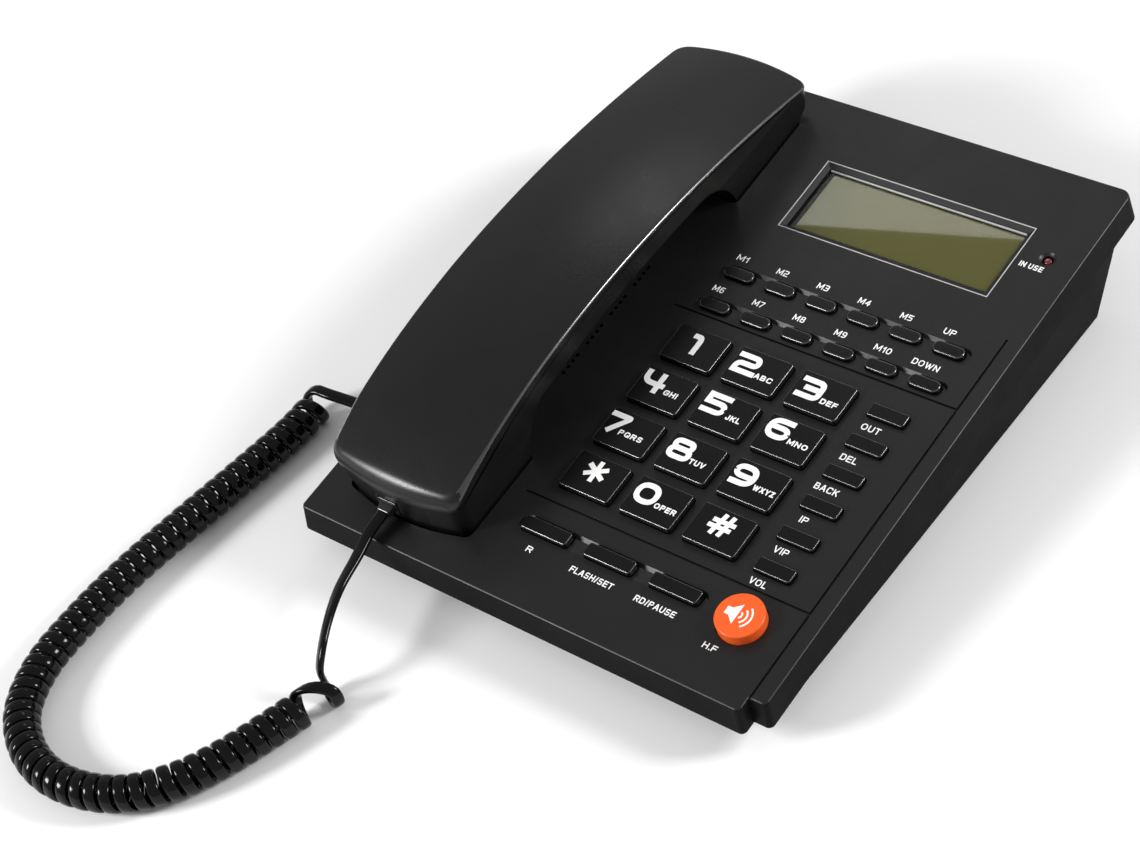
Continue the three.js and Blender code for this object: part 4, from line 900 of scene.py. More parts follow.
stem, bar = [(0, 0), (0, 1)], [(0, 1), (1, 1)]
bowl = [(0, 1), (1, 1, 0.3), (1, 0.47, 0.3), (0, 0.47)]
ring_form = [(0, 0, 0.5), (1, 0, 0.5), (1, 1, 0.5), (0, 1, 0.5), "closed"]
arch = [(1, 0.8), (1, 1, 0.28), (0, 1, 0.42), (0, 0, 0.42), (1, 0, 0.28)]
letters = {
    "A": (0.95, [[(0, 0), (0.43, 1)], [(0.57, 1), (1, 0)], [(0.22, 0.3), (0.78, 0.3)]]),
    "B": (0.88, [stem, [(0, 1), (0.9, 1, 0.26), (0.9, 0.53, 0.26), (0, 0.53)],
                 [(0.1, 0.53), (1, 0.53, 0.26), (1, 0, 0.26), (0, 0)]]),
    "C": (0.95, [arch + [(1, 0.2)]]),
    "D": (0.93, [stem, [(0, 1), (1, 1, 0.45), (1, 0, 0.45), (0, 0)]]),
    "E": (0.84, [stem, bar, [(0, 0.52), (0.9, 0.52)], [(0, 0), (1, 0)]]),
    "F": (0.8, [stem, bar, [(0, 0.5), (0.9, 0.5)]]),
    "G": (1.0, [arch + [(1, 0.47)], [(0.98, 0.47), (0.6, 0.47)]]),
    "H": (0.9, [stem, [(1, 0), (1, 1)], [(0, 0.52), (1, 0.52)]]),
    "I": (0, [stem]),
    "J": (0.7, [[(1, 1), (1, 0, 0.35), (0, 0, 0.35), (0, 0.3)]]),
    "K": (0.9, [stem, [(0.05, 0.35), (0.95, 1)], [(0.4, 0.6), (0.97, 0)]]),
    "L": (0.74, [stem, [(0, 0), (1, 0)]]),
    "M": (1.1, [stem, [(0.03, 1), (0.5, 0.2)], [(0.5, 0.2), (0.97, 1)], [(1, 1), (1, 0)]]),
    "N": (0.92, [stem, [(0.02, 1), (0.98, 0)], [(1, 0), (1, 1)]]),
    "O": (1.0, [ring_form]),
    "P": (0.86, [stem, bowl]),
    "Q": (1.0, [ring_form, [(0.62, 0.3), (0.95, 0)]]),
    "R": (0.92, [stem, bowl, [(0.55, 0.47), (0.97, 0)]]),
    "S": (0.88, [[(0.95, 0.85), (0.95, 1, 0.25), (0, 1, 0.3), (0, 0.54, 0.25), (1, 0.48, 0.25),
                  (1, 0, 0.3), (0, 0, 0.25), (0, 0.15)]]),
    "T": (0.86, [bar, [(0.5, 1), (0.5, 0)]]),
    "U": (0.9, [[(0, 1), (0, 0, 0.42), (1, 0, 0.42), (1, 1)]]),
    "V": (0.93, [[(0, 1), (0.48, 0)], [(0.52, 0), (1, 1)]]),
    "W": (1.35, [[(0, 1), (0.25, 0)], [(0.27, 0), (0.49, 0.9)], [(0.51, 0.9), (0.73, 0)],
                 [(0.75, 0), (1, 1)]]),
    "X": (0.9, [[(0, 0), (1, 1)], [(0, 1), (1, 0)]]),
    "Y": (0.9, [[(0, 1), (0.5, 0.45)], [(1, 1), (0.5, 0.45)], [(0.5, 0.5), (0.5, 0)]]),
    "Z": (0.86, [bar, [(0.97, 1), (0.03, 0)], [(0, 0), (1, 0)]]),
    "1": (0.42, [[(0.05, 0.72), (1, 1)], [(1, 1), (1, 0)]]),
    "4": (0.85, [[(0.78, 1), (0.78, 0)], [(0.74, 1), (0, 0.3)], [(0, 0.3), (1, 0.3)]]),
    "/": (0.45, [[(0.1, 0), (0.9, 1)]]),
    ".": (0, [[(0, 0), (0, 0.02)]]),
    " ": (0.2, []),
}
figures = {
    "0": (0.8, [ring_form]),
    "1": (0.5, [[(0, 1), (1, 1, 0.42), (1, 0)]]),
    "2": (0.8, [[(0, 1), (1, 1, 0.26), (1, 0.5, 0.22), (0, 0.5, 0.3), (0, 0)], [(0, 0), (1, 0)]]),
    "3": (0.8, [[(0, 1), (1, 1, 0.3), (1, 0, 0.3), (0, 0)], [(0.28, 0.51), (0.95, 0.51)]]),
    "4": (0.85, [[(0, 1), (0, 0.4, 0.42), (1, 0.4)], [(0.8, 1), (0.8, 0)]]),
    "5": (0.8, [[(1, 1), (0, 1)], [(0, 1), (0, 0.56)],
                [(0, 0.56), (1, 0.56, 0.3), (1, 0, 0.32), (0, 0)]]),
    "6": (0.8, [[(0.96, 1), (0, 1, 0.5), (0, 0, 0.45), (1, 0, 0.4), (1, 0.57, 0.35),
                 (0.04, 0.57)]]),
    "7": (0.8, [[(0, 1), (1, 1, 0.14), (0.24, 0)]]),
    "8": (0.8, [[(0.05, 0.53, 0.24), (0.95, 0.53, 0.24), (0.95, 1, 0.26), (0.05, 1, 0.26),
                 "closed"],
                [(0, 0, 0.3), (1, 0, 0.3), (1, 0.53, 0.3), (0, 0.53, 0.3), "closed"]]),
    "9": (0.8, [[(0.06, 0), (1, 0, 0.5), (1, 1, 0.45), (0, 1, 0.4), (0, 0.43, 0.35),
                 (0.96, 0.43)]]),
    "hash": (1.0, [[(0.24, 0), (0.42, 1)], [(0.64, 0), (0.82, 1)], [(0.08, 0.67), (1, 0.67)],
                   [(0, 0.33), (0.92, 0.33)]]),
    "star": (1.0, [[(0.5, 0), (0.5, 1)], [(0.03, 0.24), (0.97, 0.76)],
                   [(0.03, 0.76), (0.97, 0.24)]]),
}
ink = 0.02


def pressed(strokes, thick, z):
    """Strokes as flat print: curves with a round bevel, made mesh and pressed to ink."""
    shape = bpy.data.curves.new("print", "CURVE")
    shape.dimensions = "3D"
    shape.bevel_depth = thick / 2 * mm
    shape.bevel_resolution = 1
    shape.use_fill_caps = True
    rise = 0.003 * thick / (2 * ink)
    for order, (points, closed) in enumerate(strokes):
        if not closed:
            points = [points[0] + (points[0] - points[1]).normalized() * thick / 2, *points[1:-1],
                      points[-1] + (points[-1] - points[-2]).normalized() * thick / 2]
        line = shape.splines.new("POLY")
        line.points.add(len(points) - 1)
        line.use_cyclic_u = closed
        for step, (point, place) in enumerate(zip(line.points, points)):
            height = rise * (order % 5 + step / len(points))
            point.co = (place.x * mm, place.y * mm, height * mm, 1)
    written = bpy.data.objects.new("print", shape)
    bpy.context.collection.objects.link(written)
    pick(written)
    bpy.ops.object.convert(target="MESH")
    written = bpy.context.object
    flat = Matrix.Diagonal((1, 1, 2 * ink / thick, 1))
    written.data.transform(offset(0, 0, z) @ flat)
    return dressed(written, white_print)


def placed_strokes(sign, left, base, width, height, thick):
    """The strokes of one sign, set into its box."""
    strokes = []
    for stroke in sign:
        closed = stroke[-1] == "closed"
        bent = bent_stroke(stroke[:-1] if closed else stroke, closed)
        set_in = [Vector((left + thick / 2 + place.x * max(0, width - thick),
                          base + thick / 2 + place.y * (height - thick))) for place in bent]
        strokes.append((set_in, closed))
    return strokes


def word(text, left, base, width, height, thick, z):
    """A word that fills a box, its letters spaced by a fifth of their height."""
    signs = [(letters.get(letter) or figures[letter]) for letter in text]
    outer = [max(thick, share * height) for share, strokes in signs]
    gap = 0.2 * height
    stretch = (width - sum(size for size in outer if size == thick)) / (
        sum(size for size in outer if size != thick) + gap * (len(text) - 1))
    strokes, x = [], left
    for (share, sign), size in zip(signs, outer):
        size = size if size == thick else size * stretch
        strokes += placed_strokes(sign, x, base, size, height, thick)
        x += size + gap * stretch
    return pressed(strokes, thick, z)


print("signs:", len(letters) + len(figures))

# %% Print on the dial keys
key_letters = {  # letters, left end, width and foot on the key
    "2": ("ABC", 10.5, 7.0, 4.5), "3": ("DEF", 11.5, 6.4, 4.5), "4": ("GHI", 11.3, 5.4, 5.7),
    "5": ("JKL", 11.5, 5.6, 5.7), "6": ("MNO", 10.8, 7.6, 5.7), "7": ("PQRS", 7.0, 9.4, 5.2),
    "8": ("TUV", 10.6, 6.2, 5.2), "9": ("WXYZ", 10.8, 8.1, 5.2), "0": ("OPER", 10.4, 8.4, 5.2)}
figure_box = {  # left end, width and foot, where they aren't 1, 9.3 and 4.75
    "1": (7.1, 4.4, 4.2), "2": (1.0, 9.3, 4.2), "3": (1.5, 9.3, 4.2), "5": (1.0, 9.3, 5.6),
    "6": (1.0, 9.3, 5.6), "7": (0.4, 8.6, 4.75), "star": (5.6, 8.2, 4.75), "hash": (5.4, 9.2, 4.75)}


def dial_print(key):
    """The figure at the upper left of a dial key and its letters at the lower right."""
    name, left, front, top = key["name"], key["left"], key["front"], key["proud"] + ink / 2
    x, width, foot = figure_box.get(name, (1.0, 9.3, 4.75))
    thick = {"hash": 1.65, "star": 1.75}.get(name, 2.05)
    sign = figures[name][1]
    strokes = placed_strokes(sign, left + x, front + foot, width, 8.5, thick)
    marks = [pressed(strokes, thick, top)]
    if name in key_letters:
        text, x, width, foot = key_letters[name]
        marks.append(word(text, left + x, front + foot, width, 2.15, 0.5, top))
    return marks


for key in keys:
    cap = cap_forms[key["kind"]].copy()
    cap.data = cap.data.copy()
    bpy.context.collection.objects.link(cap)
    cap.data.transform(offset(key["left"], key["front"], 0))
    pieces = [cap] + (dial_print(key) if key["kind"] == "dial" else [])
    cap = joined(pieces, "cap_" + key["name"])
    finished(cap, DECK, "button_" + key["name"], ["key_" + key["name"]])
for form in cap_forms.values():
    bpy.data.objects.remove(form)
print("caps finished")

# %% [markdown]
# ## The hands-free key
#
# The round orange key is a disc primitive drawn up, with a wide soft edge, on a flange. Its print
# is a plain loudspeaker with three sound waves, drawn with the same strokes.

# %% Round key
round_proud = 3.8
round_key = drilled(hands_free.x, hands_free.y, 8.2, -2.5, round_proud, 72)
round_key.name = round_key.data.name = "cap_hands_free"
round_rim(round_key, round_proud, 0.6, 4)
fuse(round_key, drilled(hands_free.x, hands_free.y, 9.4, -4, -2.5, 72))

top = round_proud + ink / 2
cone = outline_block("cone", [
    (-4.4, -1.4, 0), (-2.7, -1.4, 0), (0, -3.85, 0), (0, 3.85, 0),
    (-2.7, 1.4, 0), (-4.4, 1.4, 0)], 0, ink)
cone.data.transform(offset(hands_free.x - 0.6, hands_free.y, top - ink / 2))
waves = []
for radius in (1.2, 2.9, 4.5):
    arc = [hands_free - Vector((0.4, 0)) + Vector((math.cos(a), math.sin(a))) * radius
           for a in np.linspace(-0.85, 0.85, 13)]
    waves.append(pressed([(arc, False)], 0.62, top))
round_key = joined([dressed(round_key, orange_plastic), dressed(cone, white_print), *waves])
finished(round_key, DECK, "button_hands_free", ["key_hands_free"])
print("round key:", len(round_key.data.polygons), "faces")

# %% [markdown]
# ## Words on the deck
#
# The words beside the keys are printed straight on the plate. They only say what a key does, as ON
# and OFF do on a switch.

# %% Deck print
words = [  # text, middle and foot on the deck, width and height, all in millimetres
    ("R", 84.3, 19.0, 2.3, 2.3), ("FLASH/SET", 109.7, 18.9, 17.0, 2.3),
    ("RD/PAUSE", 134.8, 18.9, 15.8, 2.3), ("H.F", 159.2, 14.2, 5.1, 2.3),
    ("IN USE", 171.9, 185.6, 8.7, 2.2), ("UP", 161.9, 150.7, 4.4, 2.5),
    ("DOWN", 161.8, 135.8, 10, 2.5), ("M10", 145.5, 135.8, 6.4, 2.5)]
words += [("M" + str(index + 1), 79.6 + 16.45 * index, 150.7, 4.5, 2.5) for index in range(5)]
words += [("M" + str(index + 6), 79.5 + 16.5 * index, 135.8, 4.5, 2.5) for index in range(4)]
side_words = (("VOL", 6.3), ("VIP", 5.4), ("IP", 2.9), ("BACK", 8.8), ("DEL", 6.2), ("OUT", 7.0))
for index, (text, width) in enumerate(side_words):
    words.append((text, 159.5, 40.5 + 13.12 * index, width, 2.5))
printed = [word(text, middle - width / 2, base, width, height, 0.42, ink)
           for text, middle, base, width, height in words]
finished(joined(printed, "deck_print"), DECK, "base", [])
print("words on the deck:", len(words))

# %% [markdown]
# ## Display and lamp
#
# Under the clear window lies a reflective display, olive when it is off, inside a black printed
# border. The window is thin and clean, so it is almost wholly see-through, and the gloss comes from
# the display's own polished face. The lamp is a small red dome in its dimple.

# %% Display panel and window
display_face = moulded(
    "olive display", (0.074, 0.073, 0.009), (0.082, 0.08, 0.014), (0.12, 0.16),
    grain=5200.0, depth=0.003, specular=0.02, coat=1.0, coat_rough=0.02)
panel_top = -2.5
panel = boxed("display_panel", (82.9, 164.5), (170.25, 201.25), (-4.9, panel_top), 0.2)
finished(dressed(panel, display_face), DECK, "base", ["lcd_panel"])

clear_plastic = moulded(
    "clear window", (0.28, 0.29, 0.27), (0.34, 0.35, 0.33), (0.02, 0.04),
    grain=2000.0, depth=0.0005, alpha=0.01)
clear_plastic.surface_render_method = "BLENDED"
window = boxed("display_window_glass", (84.6, 162.8), (171.95, 199.55), (-2.2, -1.4), 0.15)
finished(dressed(window, clear_plastic), DECK, "base", ["display_window"])

# The bead and the lip round the display are light grey: painted highlight for its bright edge.
lens_edge_painted_highlight = moulded(
    "lens edge with painted highlight", (0.4, 0.4, 0.4), (0.5, 0.5, 0.5), (0.2, 0.3),
    grain=2600.0, depth=0.004, specular=0.5)
display_field = (86.4, 162.4, 172.9, 199)
border = boxed("display_border", (84.35, 163.05), (171.7, 199.8), (-2.45, -2.3))
cut(border, outline_block("clear field", rectangle(*display_field), -4.5, -1))
bead = boxed("bead", (82.15, 165.25), (169.5, 202), (-0.5, 0.12))
cut(bead, boxed("inside", (82.55, 164.85), (169.9, 201.6), (-1, 1)))
fine_edges(bead, 0.12, 3)
lip = boxed("lip", (84.6, 162.8), (199.2, 199.8), (-2.25, -1.35), 0.28, 3)
border = joined([dressed(border, key_plastic), dressed(bead, lens_edge_painted_highlight), dressed(lip, lens_edge_painted_highlight)])
finished(border, DECK, "base", [])
print("display made")

# %% Lamp
lamp_plastic = moulded(
    "red lamp", (0.1, 0.003, 0.004), (0.17, 0.005, 0.006), (0.06, 0.12), grain=900.0, depth=0.002,
    specular=0.6, coat=1.0)
lens = drilled(lamp.x, lamp.y, 1.6, -2.5, -0.7, 32)
lens.name = lens.data.name = "lamp_lens"
round_rim(lens, -0.7, 1.05, 6)
fuse(lens, drilled(lamp.x, lamp.y, 2.8, -4, -2.5, 32))
finished(dressed(lens, lamp_plastic), DECK, "base", ["in_use_lamp"])
print("lamp made")

# %% [markdown]
# ## The handset
#
# This is the form that takes the most skill. Seen from the side its back is one long arch that is
# steeper at the ear. Seen from above its ends are bowed. Across, its back is slightly crowned and
# rolls over into the flanks. The two shells meet at a seam that runs along an arch of its own.
#
# The back shell is a grid primitive. Its columns stand round the handset's outline, and its rows
# climb the flank, roll over the edge and run in to the middle line, then back again along the
# inside of the wall. No cut is needed, so the long highlight stays unbroken.

# %% The long curves
near_end, far_end = 10.5, 225
handset_length = far_end - near_end


def long_curve(near_height, near_pull, far_pull, far_height):
    """Height over the deck at a depth, from one Bezier curve along the handset."""
    t = np.linspace(0, 1, 1501)
    weights = np.array([(1 - t) ** 3, 3 * t * (1 - t) ** 2, 3 * t ** 2 * (1 - t), t ** 3])
    ys = near_end + handset_length * (np.array([0, 0.23, 0.6, 1]) @ weights)
    zs = np.array([near_height, near_pull, far_pull, far_height]) @ weights
    return lambda y: np.interp(y, ys, zs)


top_at = long_curve(17, 37, 36, 12)
seam_at = long_curve(12.8, 33, 34.6, 10.9)
grip_line = long_curve(15, 28.5, 33, 10.5)


def end_outline(half, y, inwards, round_off, steps):
    """One bowed end from its middle to the right flank."""
    edge = half - round_off
    bow = lambda x: y + inwards * 4.2 * (x / half) ** 2
    slope = inwards * 8.4 * edge / half ** 2
    front = [(x, bow(x)) for x in np.linspace(0, edge, steps)[:-1]]
    start, stop = Vector((edge, bow(edge))), Vector((half, bow(edge) + inwards * round_off * 1.15))
    corner = Vector((half, bow(edge) + slope * round_off))
    arc = [start * (1 - t) ** 2 + corner * 2 * t * (1 - t) + stop * t ** 2
           for t in np.linspace(0, 1, 9)]
    return front + [(point.x, point.y) for point in arc]


def plan_outline(width, near, inset, side_steps=64, end_steps=12):
    """The handset seen from above, anticlockwise from the middle of the near end."""
    half, round_off = width / 2 - inset, 5 - min(inset, 3)
    near_right = end_outline(half, near + inset, 1, round_off, end_steps)
    far_right = end_outline(half, far_end - inset, -1, round_off, end_steps)[::-1]
    side = [(half, y) for y in np.linspace(near_right[-1][1], far_right[0][1], side_steps)[1:-1]]
    right = near_right + side + far_right
    left = [(-x, y) for x, y in right[-2:0:-1]]
    return [(handset_x + x, y) for x, y in right + left]


print("outline points:", len(plan_outline(56, near_end, 0)))

# %% Back shell
half_width = 28


def back_surface(x, y):
    """Height of the crowned back over the deck."""
    return top_at(y) + 1.9 * (1 - ((x - handset_x) / half_width) ** 2)


def shell_rows(wall):
    """The rows of one side of the back shell, from its seam to the middle line."""
    outline = plan_outline(2 * half_width, near_end, wall)
    spine_low, spine_high = near_end + half_width, far_end - half_width
    rows = [[] for index in range(24)]
    for x, y in outline:
        spine = Vector((handset_x, min(max(y, spine_low), spine_high)))
        inward = spine - Vector((x, y))
        reach = inward.length
        low = float(seam_at(y)) + seam_gap
        high = float(back_surface(x, y)) - wall
        endwards = (inward.y / reach) ** 2
        roll = max(0.05, min(0.9 + 6 * endwards, 0.78 * (high - low)))
        rows[0].append((x, y, low))
        rows[1].append((x, y, max(low, (low + high - roll) / 2)))
        steps = [roll * (1 - math.cos(math.pi / 2 * share)) for share in np.linspace(0, 1, 8)]
        steps += [roll + (reach - roll) * share ** 1.15 for share in np.linspace(0, 1, 15)[1:]]
        for row, depth in zip(rows[2:], steps):
            point = Vector((x, y)) + inward * (depth / reach)
            drop = roll - math.sqrt(max(0, roll ** 2 - (roll - min(depth, roll)) ** 2))
            height = float(back_surface(point.x, point.y)) - wall - drop
            row.append((point.x, point.y, max(height, low)))
    return rows


shell_wall, seam_gap = 2, 0.15
back_rows = shell_rows(0)
inner_rows = shell_rows(shell_wall)
back_shell = wrapped_grid("handset_back", inner_rows[::-1] + back_rows, filled=False)
for face in dressed(back_shell, handset_plastic, burnished).data.polygons:
    across, along, up = face.normal
    if 0.3 < up < 0.9 and abs(across) > 0.35 and abs(along) < 0.4:
        face.material_index = 1
finished(back_shell, DECK, "handset", ["handset_outer_shell"], 60)
print("back shell:", len(back_shell.data.polygons), "faces")

# %% [markdown]
# The inner shell faces the deck: the mouth cup, the arch of the grip and the ear cup. Its sections
# follow one line along the underside. It is wrapped over them, trimmed by the outline of the
# handset, and hollowed by a smaller form made in the same way.

# %% Underside line
def underside_line(arch_steps=14, grip_steps=16):
    """The underside as (y, z), from the near end to the far end."""
    grip_at = lambda y: float(grip_line(y)) - 6.5
    seat = 3.5

    def flank(edge, run):
        top = grip_at(edge + run)
        angles = np.linspace(0, math.pi / 2, arch_steps)
        return [(edge + run * (1 - math.cos(a)), (top + seat) * math.sin(a) - seat) for a in angles]

    mouth = flank(50, 14)
    ear = flank(173.7, -20)[::-1]
    grip = [(y, grip_at(y)) for y in np.linspace(64, 153.7, grip_steps)[1:-1]]
    turn = [(12.1 + 3 * (1 - math.sin(a)), 3 * (1 - math.cos(a)) - seat)
            for a in np.linspace(math.pi / 2, 0, 7)]
    toe = [(near_end - 1, -0.5)] + turn
    heel = [(212, -seat), (213, 0), (far_end, 9.15), (far_end + 1, 9.15)]
    return toe + mouth + grip + ear + heel


def inset_line(line, wall):
    """The line moved inwards by the wall, square to its stretches."""
    line = [Vector(point) for point in line]
    moved = []
    for index, here in enumerate(line):
        before, after = line[max(index - 1, 0)], line[min(index + 1, len(line) - 1)]
        arriving = (here - before).normalized() if index else (after - here).normalized()
        leaving = (after - here).normalized() if index < len(line) - 1 else arriving
        along = (arriving + leaving).normalized()
        spread = max(along.dot(arriving), along.dot(leaving))
        moved.append((here.x - along.y * wall / spread, here.y + along.x * wall / spread))
    return moved


def trough_rings(line, half, round_off, extra):
    """A section at each point of the line: flanks with rounded lower edges up to the seam."""
    sections = []
    for y, z in line:
        high = float(seam_at(y)) - seam_gap + extra
        high = max(high, z + 0.3)
        edge = min(round_off, (high - z) / 2)
        left = [(-half, high)]
        for a in np.linspace(0, math.pi / 2, 6):
            left.append((-half + edge * (1 - math.cos(a)), z + edge * (1 - math.sin(a))))
        right = [(-x, height) for x, height in reversed(left)]
        sections.append([(handset_x + x, y, height) for x, height in left + right])
    return sections


# %% Inner shell
def handset_prism(inset):
    """The outline drawn up: narrow at the cups' floor, full from 14 mm over the deck."""
    foot = plan_outline(50, 12.1, inset)
    full = plan_outline(2 * half_width, near_end, inset)
    levels = [(foot, -4.5), (full, 14), (full, 39)]
    return wrapped_grid("prism", [[(x, y, z) for x, y in outline] for outline, z in levels])


line = underside_line()
inner_shell = wrapped_grid("handset_cradle_side", trough_rings(line, half_width, 2, 0))
keep_shared(inner_shell, handset_prism(0))
cavity = wrapped_grid("cavity", trough_rings(
    inset_line(line, shell_wall), half_width - shell_wall, 1, 3))
keep_shared(cavity, handset_prism(shell_wall))
cut(inner_shell, cavity)
print("inner shell:", len(inner_shell.data.polygons), "faces")

# %% Sound holes and socket
def ring_of_holes(y, count, radius, hole):
    angles = [2 * math.pi * index / count for index in range(count)]
    return [drilled(handset_x + radius * math.cos(a), y + radius * math.sin(a), hole,
                    -5, -0.5, 20) for a in angles]


cut(inner_shell, *ring_of_holes(193.2, 6, 5, 1), *ring_of_holes(31, 3, 2.8, 1))
socket_hole = boxed("socket hole", (-5.9, 5.9), (-4.8, 4.8), (-3, 1))
socket_hole.data.transform(hand_mouth)
cut(inner_shell, socket_hole)
fine_edges(inner_shell, 0.2)
dressed(inner_shell, handset_plastic)
finished(inner_shell, DECK, "handset", ["handset_inner_shell"], 40)
print("cradle side:", len(inner_shell.data.polygons), "faces")

# %% [markdown]
# ## The lower housing
#
# The tub under the deck stands back from the rim by 4.5 mm, so that the telephone seems to float.
# Its rear wall has a bend: upright under the rim, then slanting forward to the floor. The front
# slants a little too. It is made from the floor's outline, drawn up in two steps.

# %% Tub
deck_run = deck_depth * math.cos(deck_slope)
rear_bottom, rear_top = deck_run - 17.5, deck_run - 3
plane_height = lambda y, z: front_height + y * math.tan(deck_slope) + z / math.cos(deck_slope)
knee_height = lambda y: 2 + 0.69 * (plane_height(y, -rim_height) - 2)


def tub_outline(side, front, rear):
    return [(side, front, 2), (deck_width - side, front, 18),
            (deck_width - side, rear, 4), (side, rear, 4)]


def tub_form(name, floor_outline, wall_outline, lip_outline, floor, top_drop, lip_drop):
    """The tub as five rings: floor, bend, under the rim, and the lip inside the rim."""
    def ring(outline, height):
        flat = outline_block("ring", outline, 0, 1)
        low = [(vert.co.x / mm, vert.co.y / mm)
               for vert in flat.data.vertices if vert.co.z < mm / 2]
        bpy.data.objects.remove(flat)
        low.sort(key=lambda place: math.atan2(place[1] - deck_run / 2, place[0] - deck_width / 2))
        return [(x, y, height(y)) for x, y in low]
    rings = [ring(floor_outline, lambda y: floor), ring(wall_outline, knee_height),
             ring(wall_outline, lambda y: plane_height(y, top_drop)),
             ring(lip_outline, lambda y: plane_height(y, -rim_height)),
             ring(lip_outline, lambda y: plane_height(y, lip_drop))]
    return wrapped_grid(name, rings)


def tub_layer(name, wall, rear_wall, lip_drop):
    """The tub's outer form, or what a wall of some thickness leaves inside it."""
    return tub_form(
        name, tub_outline(4.5 + wall, 8 + wall, rear_bottom - wall),
        tub_outline(4.5 + wall, 4.5 + wall, rear_top - rear_wall),
        tub_outline(2.7 + wall, 2.7 + wall, deck_run - 2.7 - wall),
        2 + wall, -rim_height - wall, lip_drop)


tub = tub_layer("lower_housing_tub", 0, 0, -5)
tub_inside = tub_layer("inside", 2.2, 2.7, -4)
cut(tub, tub_inside)
print("tub:", len(tub.data.polygons), "faces")

# %% Holes in the tub
rear_slant = Vector((0, rear_top - rear_bottom, knee_height(rear_top) - 2)).normalized()
rear_facing = rear_slant.cross(Vector((1, 0, 0)))
line_place = Vector((130, (rear_bottom + rear_top) / 2, (2 + knee_height(rear_top)) / 2))
line_socket = looking_out(line_place, rear_facing, rear_slant)
tub_holes = [boxed("vent", (25.05, 51.05), (y - 1.2, y + 1.2), (0, 6), 0.6)
             for y in [109.975 + (row - 2.5) * 5.5 for row in range(6)]]
screw_shares = ((0.075, 0.27), (0.075, 0.692), (0.643, 0.06), (0.922, 0.71))
screw_places = [(x * deck_width, y * deck_depth) for x, y in screw_shares]
for x, y in screw_places:
    tub_holes.append(drilled(x, y, 1.8, 0, 6, 24))
    tub_holes.append(drilled(x, y, 3.4, 0, 3, 32))
tub_holes.append(boxed("switch slot", (3, 8), (144.2, 155.8), (12.1, 15.9), 0.3))
side_hole = boxed("side hole", (-5.9, 5.9), (-4.8, 4.8), (-3.2, 1))
side_hole.data.transform(side_mouth)
rear_hole = boxed("rear hole", (-6.8, 6.8), (-5.8, 5.8), (-14.3, 1))
rear_hole.data.transform(line_socket)
for cutter in [joined(tub_holes[:6]), joined(tub_holes[6:14:2]), joined(tub_holes[7:14:2]),
               tub_holes[14], side_hole, rear_hole]:
    cut(tub, cutter)
fine_edges(tub, 0.25, finishes=housing_finishes)
finished(tub, BASE, "base", ["lower_housing"])
print("tub with holes:", len(tub.data.polygons), "faces")

# %% [markdown]
# ## Small things underneath and at the sides
#
# Four screws hold the tub to the deck. The ringer's slide has a ribbed knob in the left wall. The
# other solids keep their own form: the feet, the sockets, the hook plunger and what lies inside.
# They only get their finishes here.

# %% Screws and the ringer's knob
screws = []
for x, y in screw_places:
    head = drilled(x, y, 3.1, 2.1, 3, 32)
    round_rim(head, 2.1, 0.35)
    fuse(head, drilled(x, y, 1.5, 2.9, 6, 24))
    for half_x, half_y in ((1.7, 0.35), (0.35, 1.7)):
        cut(head, boxed(
            "slot", (x - half_x, x + half_x), (y - half_y, y + half_y), (0, 2.7)))
    screws.append(head)
steel = moulded("zinc steel", (0.42, 0.42, 0.43), (0.55, 0.55, 0.56), (0.25, 0.4), grain=700.0,
                depth=0.01, metal=1.0)
screws_together = dressed(joined(screws, "housing_screws"), steel)
finished(screws_together, BASE, "base", [])

knob = boxed("ringer_knob", (3, 7.7), (148, 152), (12.4, 15.6), 0.3)
cut(knob, *[boxed("rib", (2, 3.5), (y - 0.25, y + 0.25), (11, 17)) for y in (149, 150, 151)])
fuse(knob, boxed("slide", (7, 8.5), (141, 159), (10, 18), 0.2))
finished(dressed(knob, key_plastic), BASE, "ringer", ["ringer_switch"])
print("screws:", len(screws))

# %% Finishes of the solids that stay
foot_rubber = moulded(
    "foot rubber", (0.012, 0.012, 0.013), (0.02, 0.02, 0.021), (0.7, 0.85),
    grain=700.0, depth=0.05, specular=0.25)
board_resin = moulded(
    "green board", (0.015, 0.07, 0.025), (0.025, 0.1, 0.04), (0.3, 0.45), depth=0.01)
grey_rubber = moulded(
    "grey silicone", (0.26, 0.26, 0.25), (0.33, 0.33, 0.31), (0.5, 0.65), depth=0.02)
stays = [
    (foot_rubber, "foot_front_left foot_front_right foot_rear_left foot_rear_right"),
    (black_plastic, "line_jack cord_jack handset_jack hook_plunger"),
    (board_resin, "main_board"), (grey_rubber, "key_membrane"),
    (steel, "loudspeaker receiver_capsule microphone_capsule")]
for material, names in stays:
    for name in names.split():
        dressed(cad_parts[name], material)
print("solids that stay:", sum(len(names.split()) for material, names in stays))

# %% [markdown]
# ## The stage
#
# A pale floor, a sky and two soft lamps. The floor is white by its own colour and keeps the
# telephone's shadow. The sky is an even studio at less than half of full light. The two lamps stand
# where the fine edges of the keys and the housing mirror them, so these are thin bright lines. A
# third, small lamp is what the display mirrors: its image ends along the display's diagonal.

# %% Floor, sky and lamps
deselect()
bpy.ops.mesh.primitive_plane_add(size=24)
floor = bpy.context.object
floor.name = "table_top"
floor_paper = bpy.data.materials.new("white paper")
floor_paper.use_nodes = True
paper = floor_paper.node_tree.nodes["Principled BSDF"]
paper.inputs["Base Color"].default_value = (0.95, 0.95, 0.95, 1)
paper.inputs["Roughness"].default_value = 0.9
paper.inputs["Specular IOR Level"].default_value = 0.1
floor.data.materials.append(floor_paper)

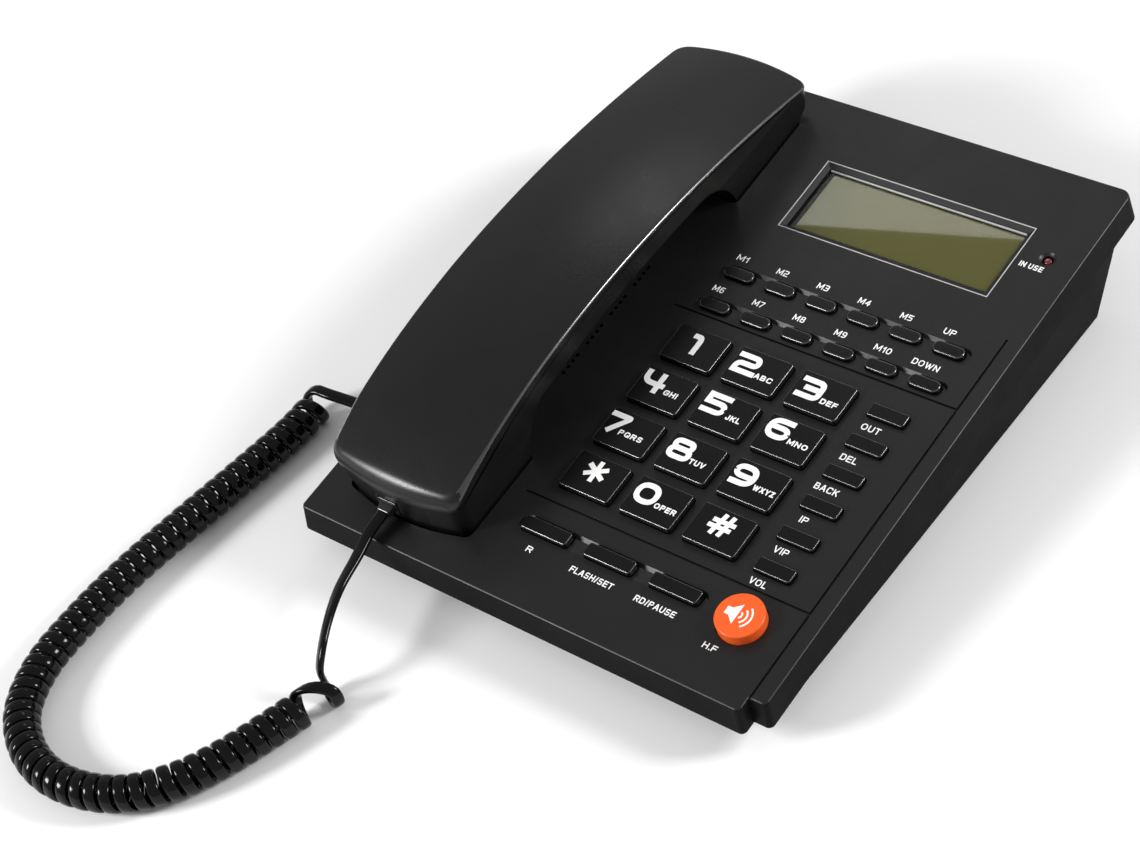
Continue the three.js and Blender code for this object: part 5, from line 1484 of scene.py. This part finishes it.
sky = bpy.data.worlds.new("studio sky")
bpy.context.scene.world = sky
sky.use_nodes = True
sky_tree = sky.node_tree
background = sky_tree.nodes["Background"]
background.inputs["Color"].default_value = (1, 1, 1, 1)
direction = add_node(sky_tree, "ShaderNodeTexCoord")
height = add_node(sky_tree, "ShaderNodeSeparateXYZ")
falling = add_node(sky_tree, "ShaderNodeMapRange", to_min=0.5, to_max=0.4)
link(sky_tree, (direction, "Generated", height, "Vector"), (height, "Z", falling, "Value"),
     (falling, "Result", background, "Strength"))


def soft_lamp(name, place, aim, size, power, depth=None):
    """A lamp of a size, or of a size and a depth, that looks at a point."""
    deselect()
    bpy.ops.object.light_add(type="AREA", location=place)
    lamp_object = bpy.context.object
    lamp_object.name = name
    lamp_object.data.shape = "RECTANGLE"
    lamp_object.data.size = size
    lamp_object.data.size_y = depth or size
    lamp_object.data.energy = power
    lamp_object.rotation_mode = "QUATERNION"
    lamp_object.rotation_quaternion = (Vector(aim) - Vector(place)).to_track_quat("-Z", "Y")
    return lamp_object


lamp_size, lamp_distance = 0.4, 1.6
for name, toward, power in (
        ("lamp_right_back", (0.70, 0.47, 0.54), 18), ("lamp_front_left", (-0.54, -0.70, 0.47), 20)):
    soft_lamp(name, Vector(toward).normalized() * lamp_distance, (0, 0, 0), lamp_size, power)

# The eye's image in the display's plane, and from it rays through the ends of the diagonal
left, right, front, rear = display_field
diagonal = [DECK @ (Vector((x, y, panel_top)) * mm) for x, y in ((left, front), (right, rear))]
eye_image = camera_place - 2 * deck_up * (camera_place - diagonal[0]).dot(deck_up)
ends = [eye_image + 2 * (corner - eye_image) for corner in diagonal]
middle = (ends[0] + ends[1]) / 2
edge = (ends[1] - ends[0]).normalized()
facing = ((diagonal[0] + diagonal[1]) / 2 - middle).normalized()
beside = facing.cross(edge).normalized()
beside *= math.copysign(1, beside.y)
card_length, card_depth = 0.24, 0.12
card_place = middle + beside * card_depth / 2
card = soft_lamp("lamp_display", card_place, card_place + facing, card_length, 0.26, card_depth)
across = beside.cross(edge) * math.copysign(1, beside.cross(edge).dot(facing))
card.rotation_quaternion = Matrix((edge, edge.cross(across), -across)).transposed().to_quaternion()
bpy.context.scene.view_settings.view_transform = "Standard"
print("stage set")
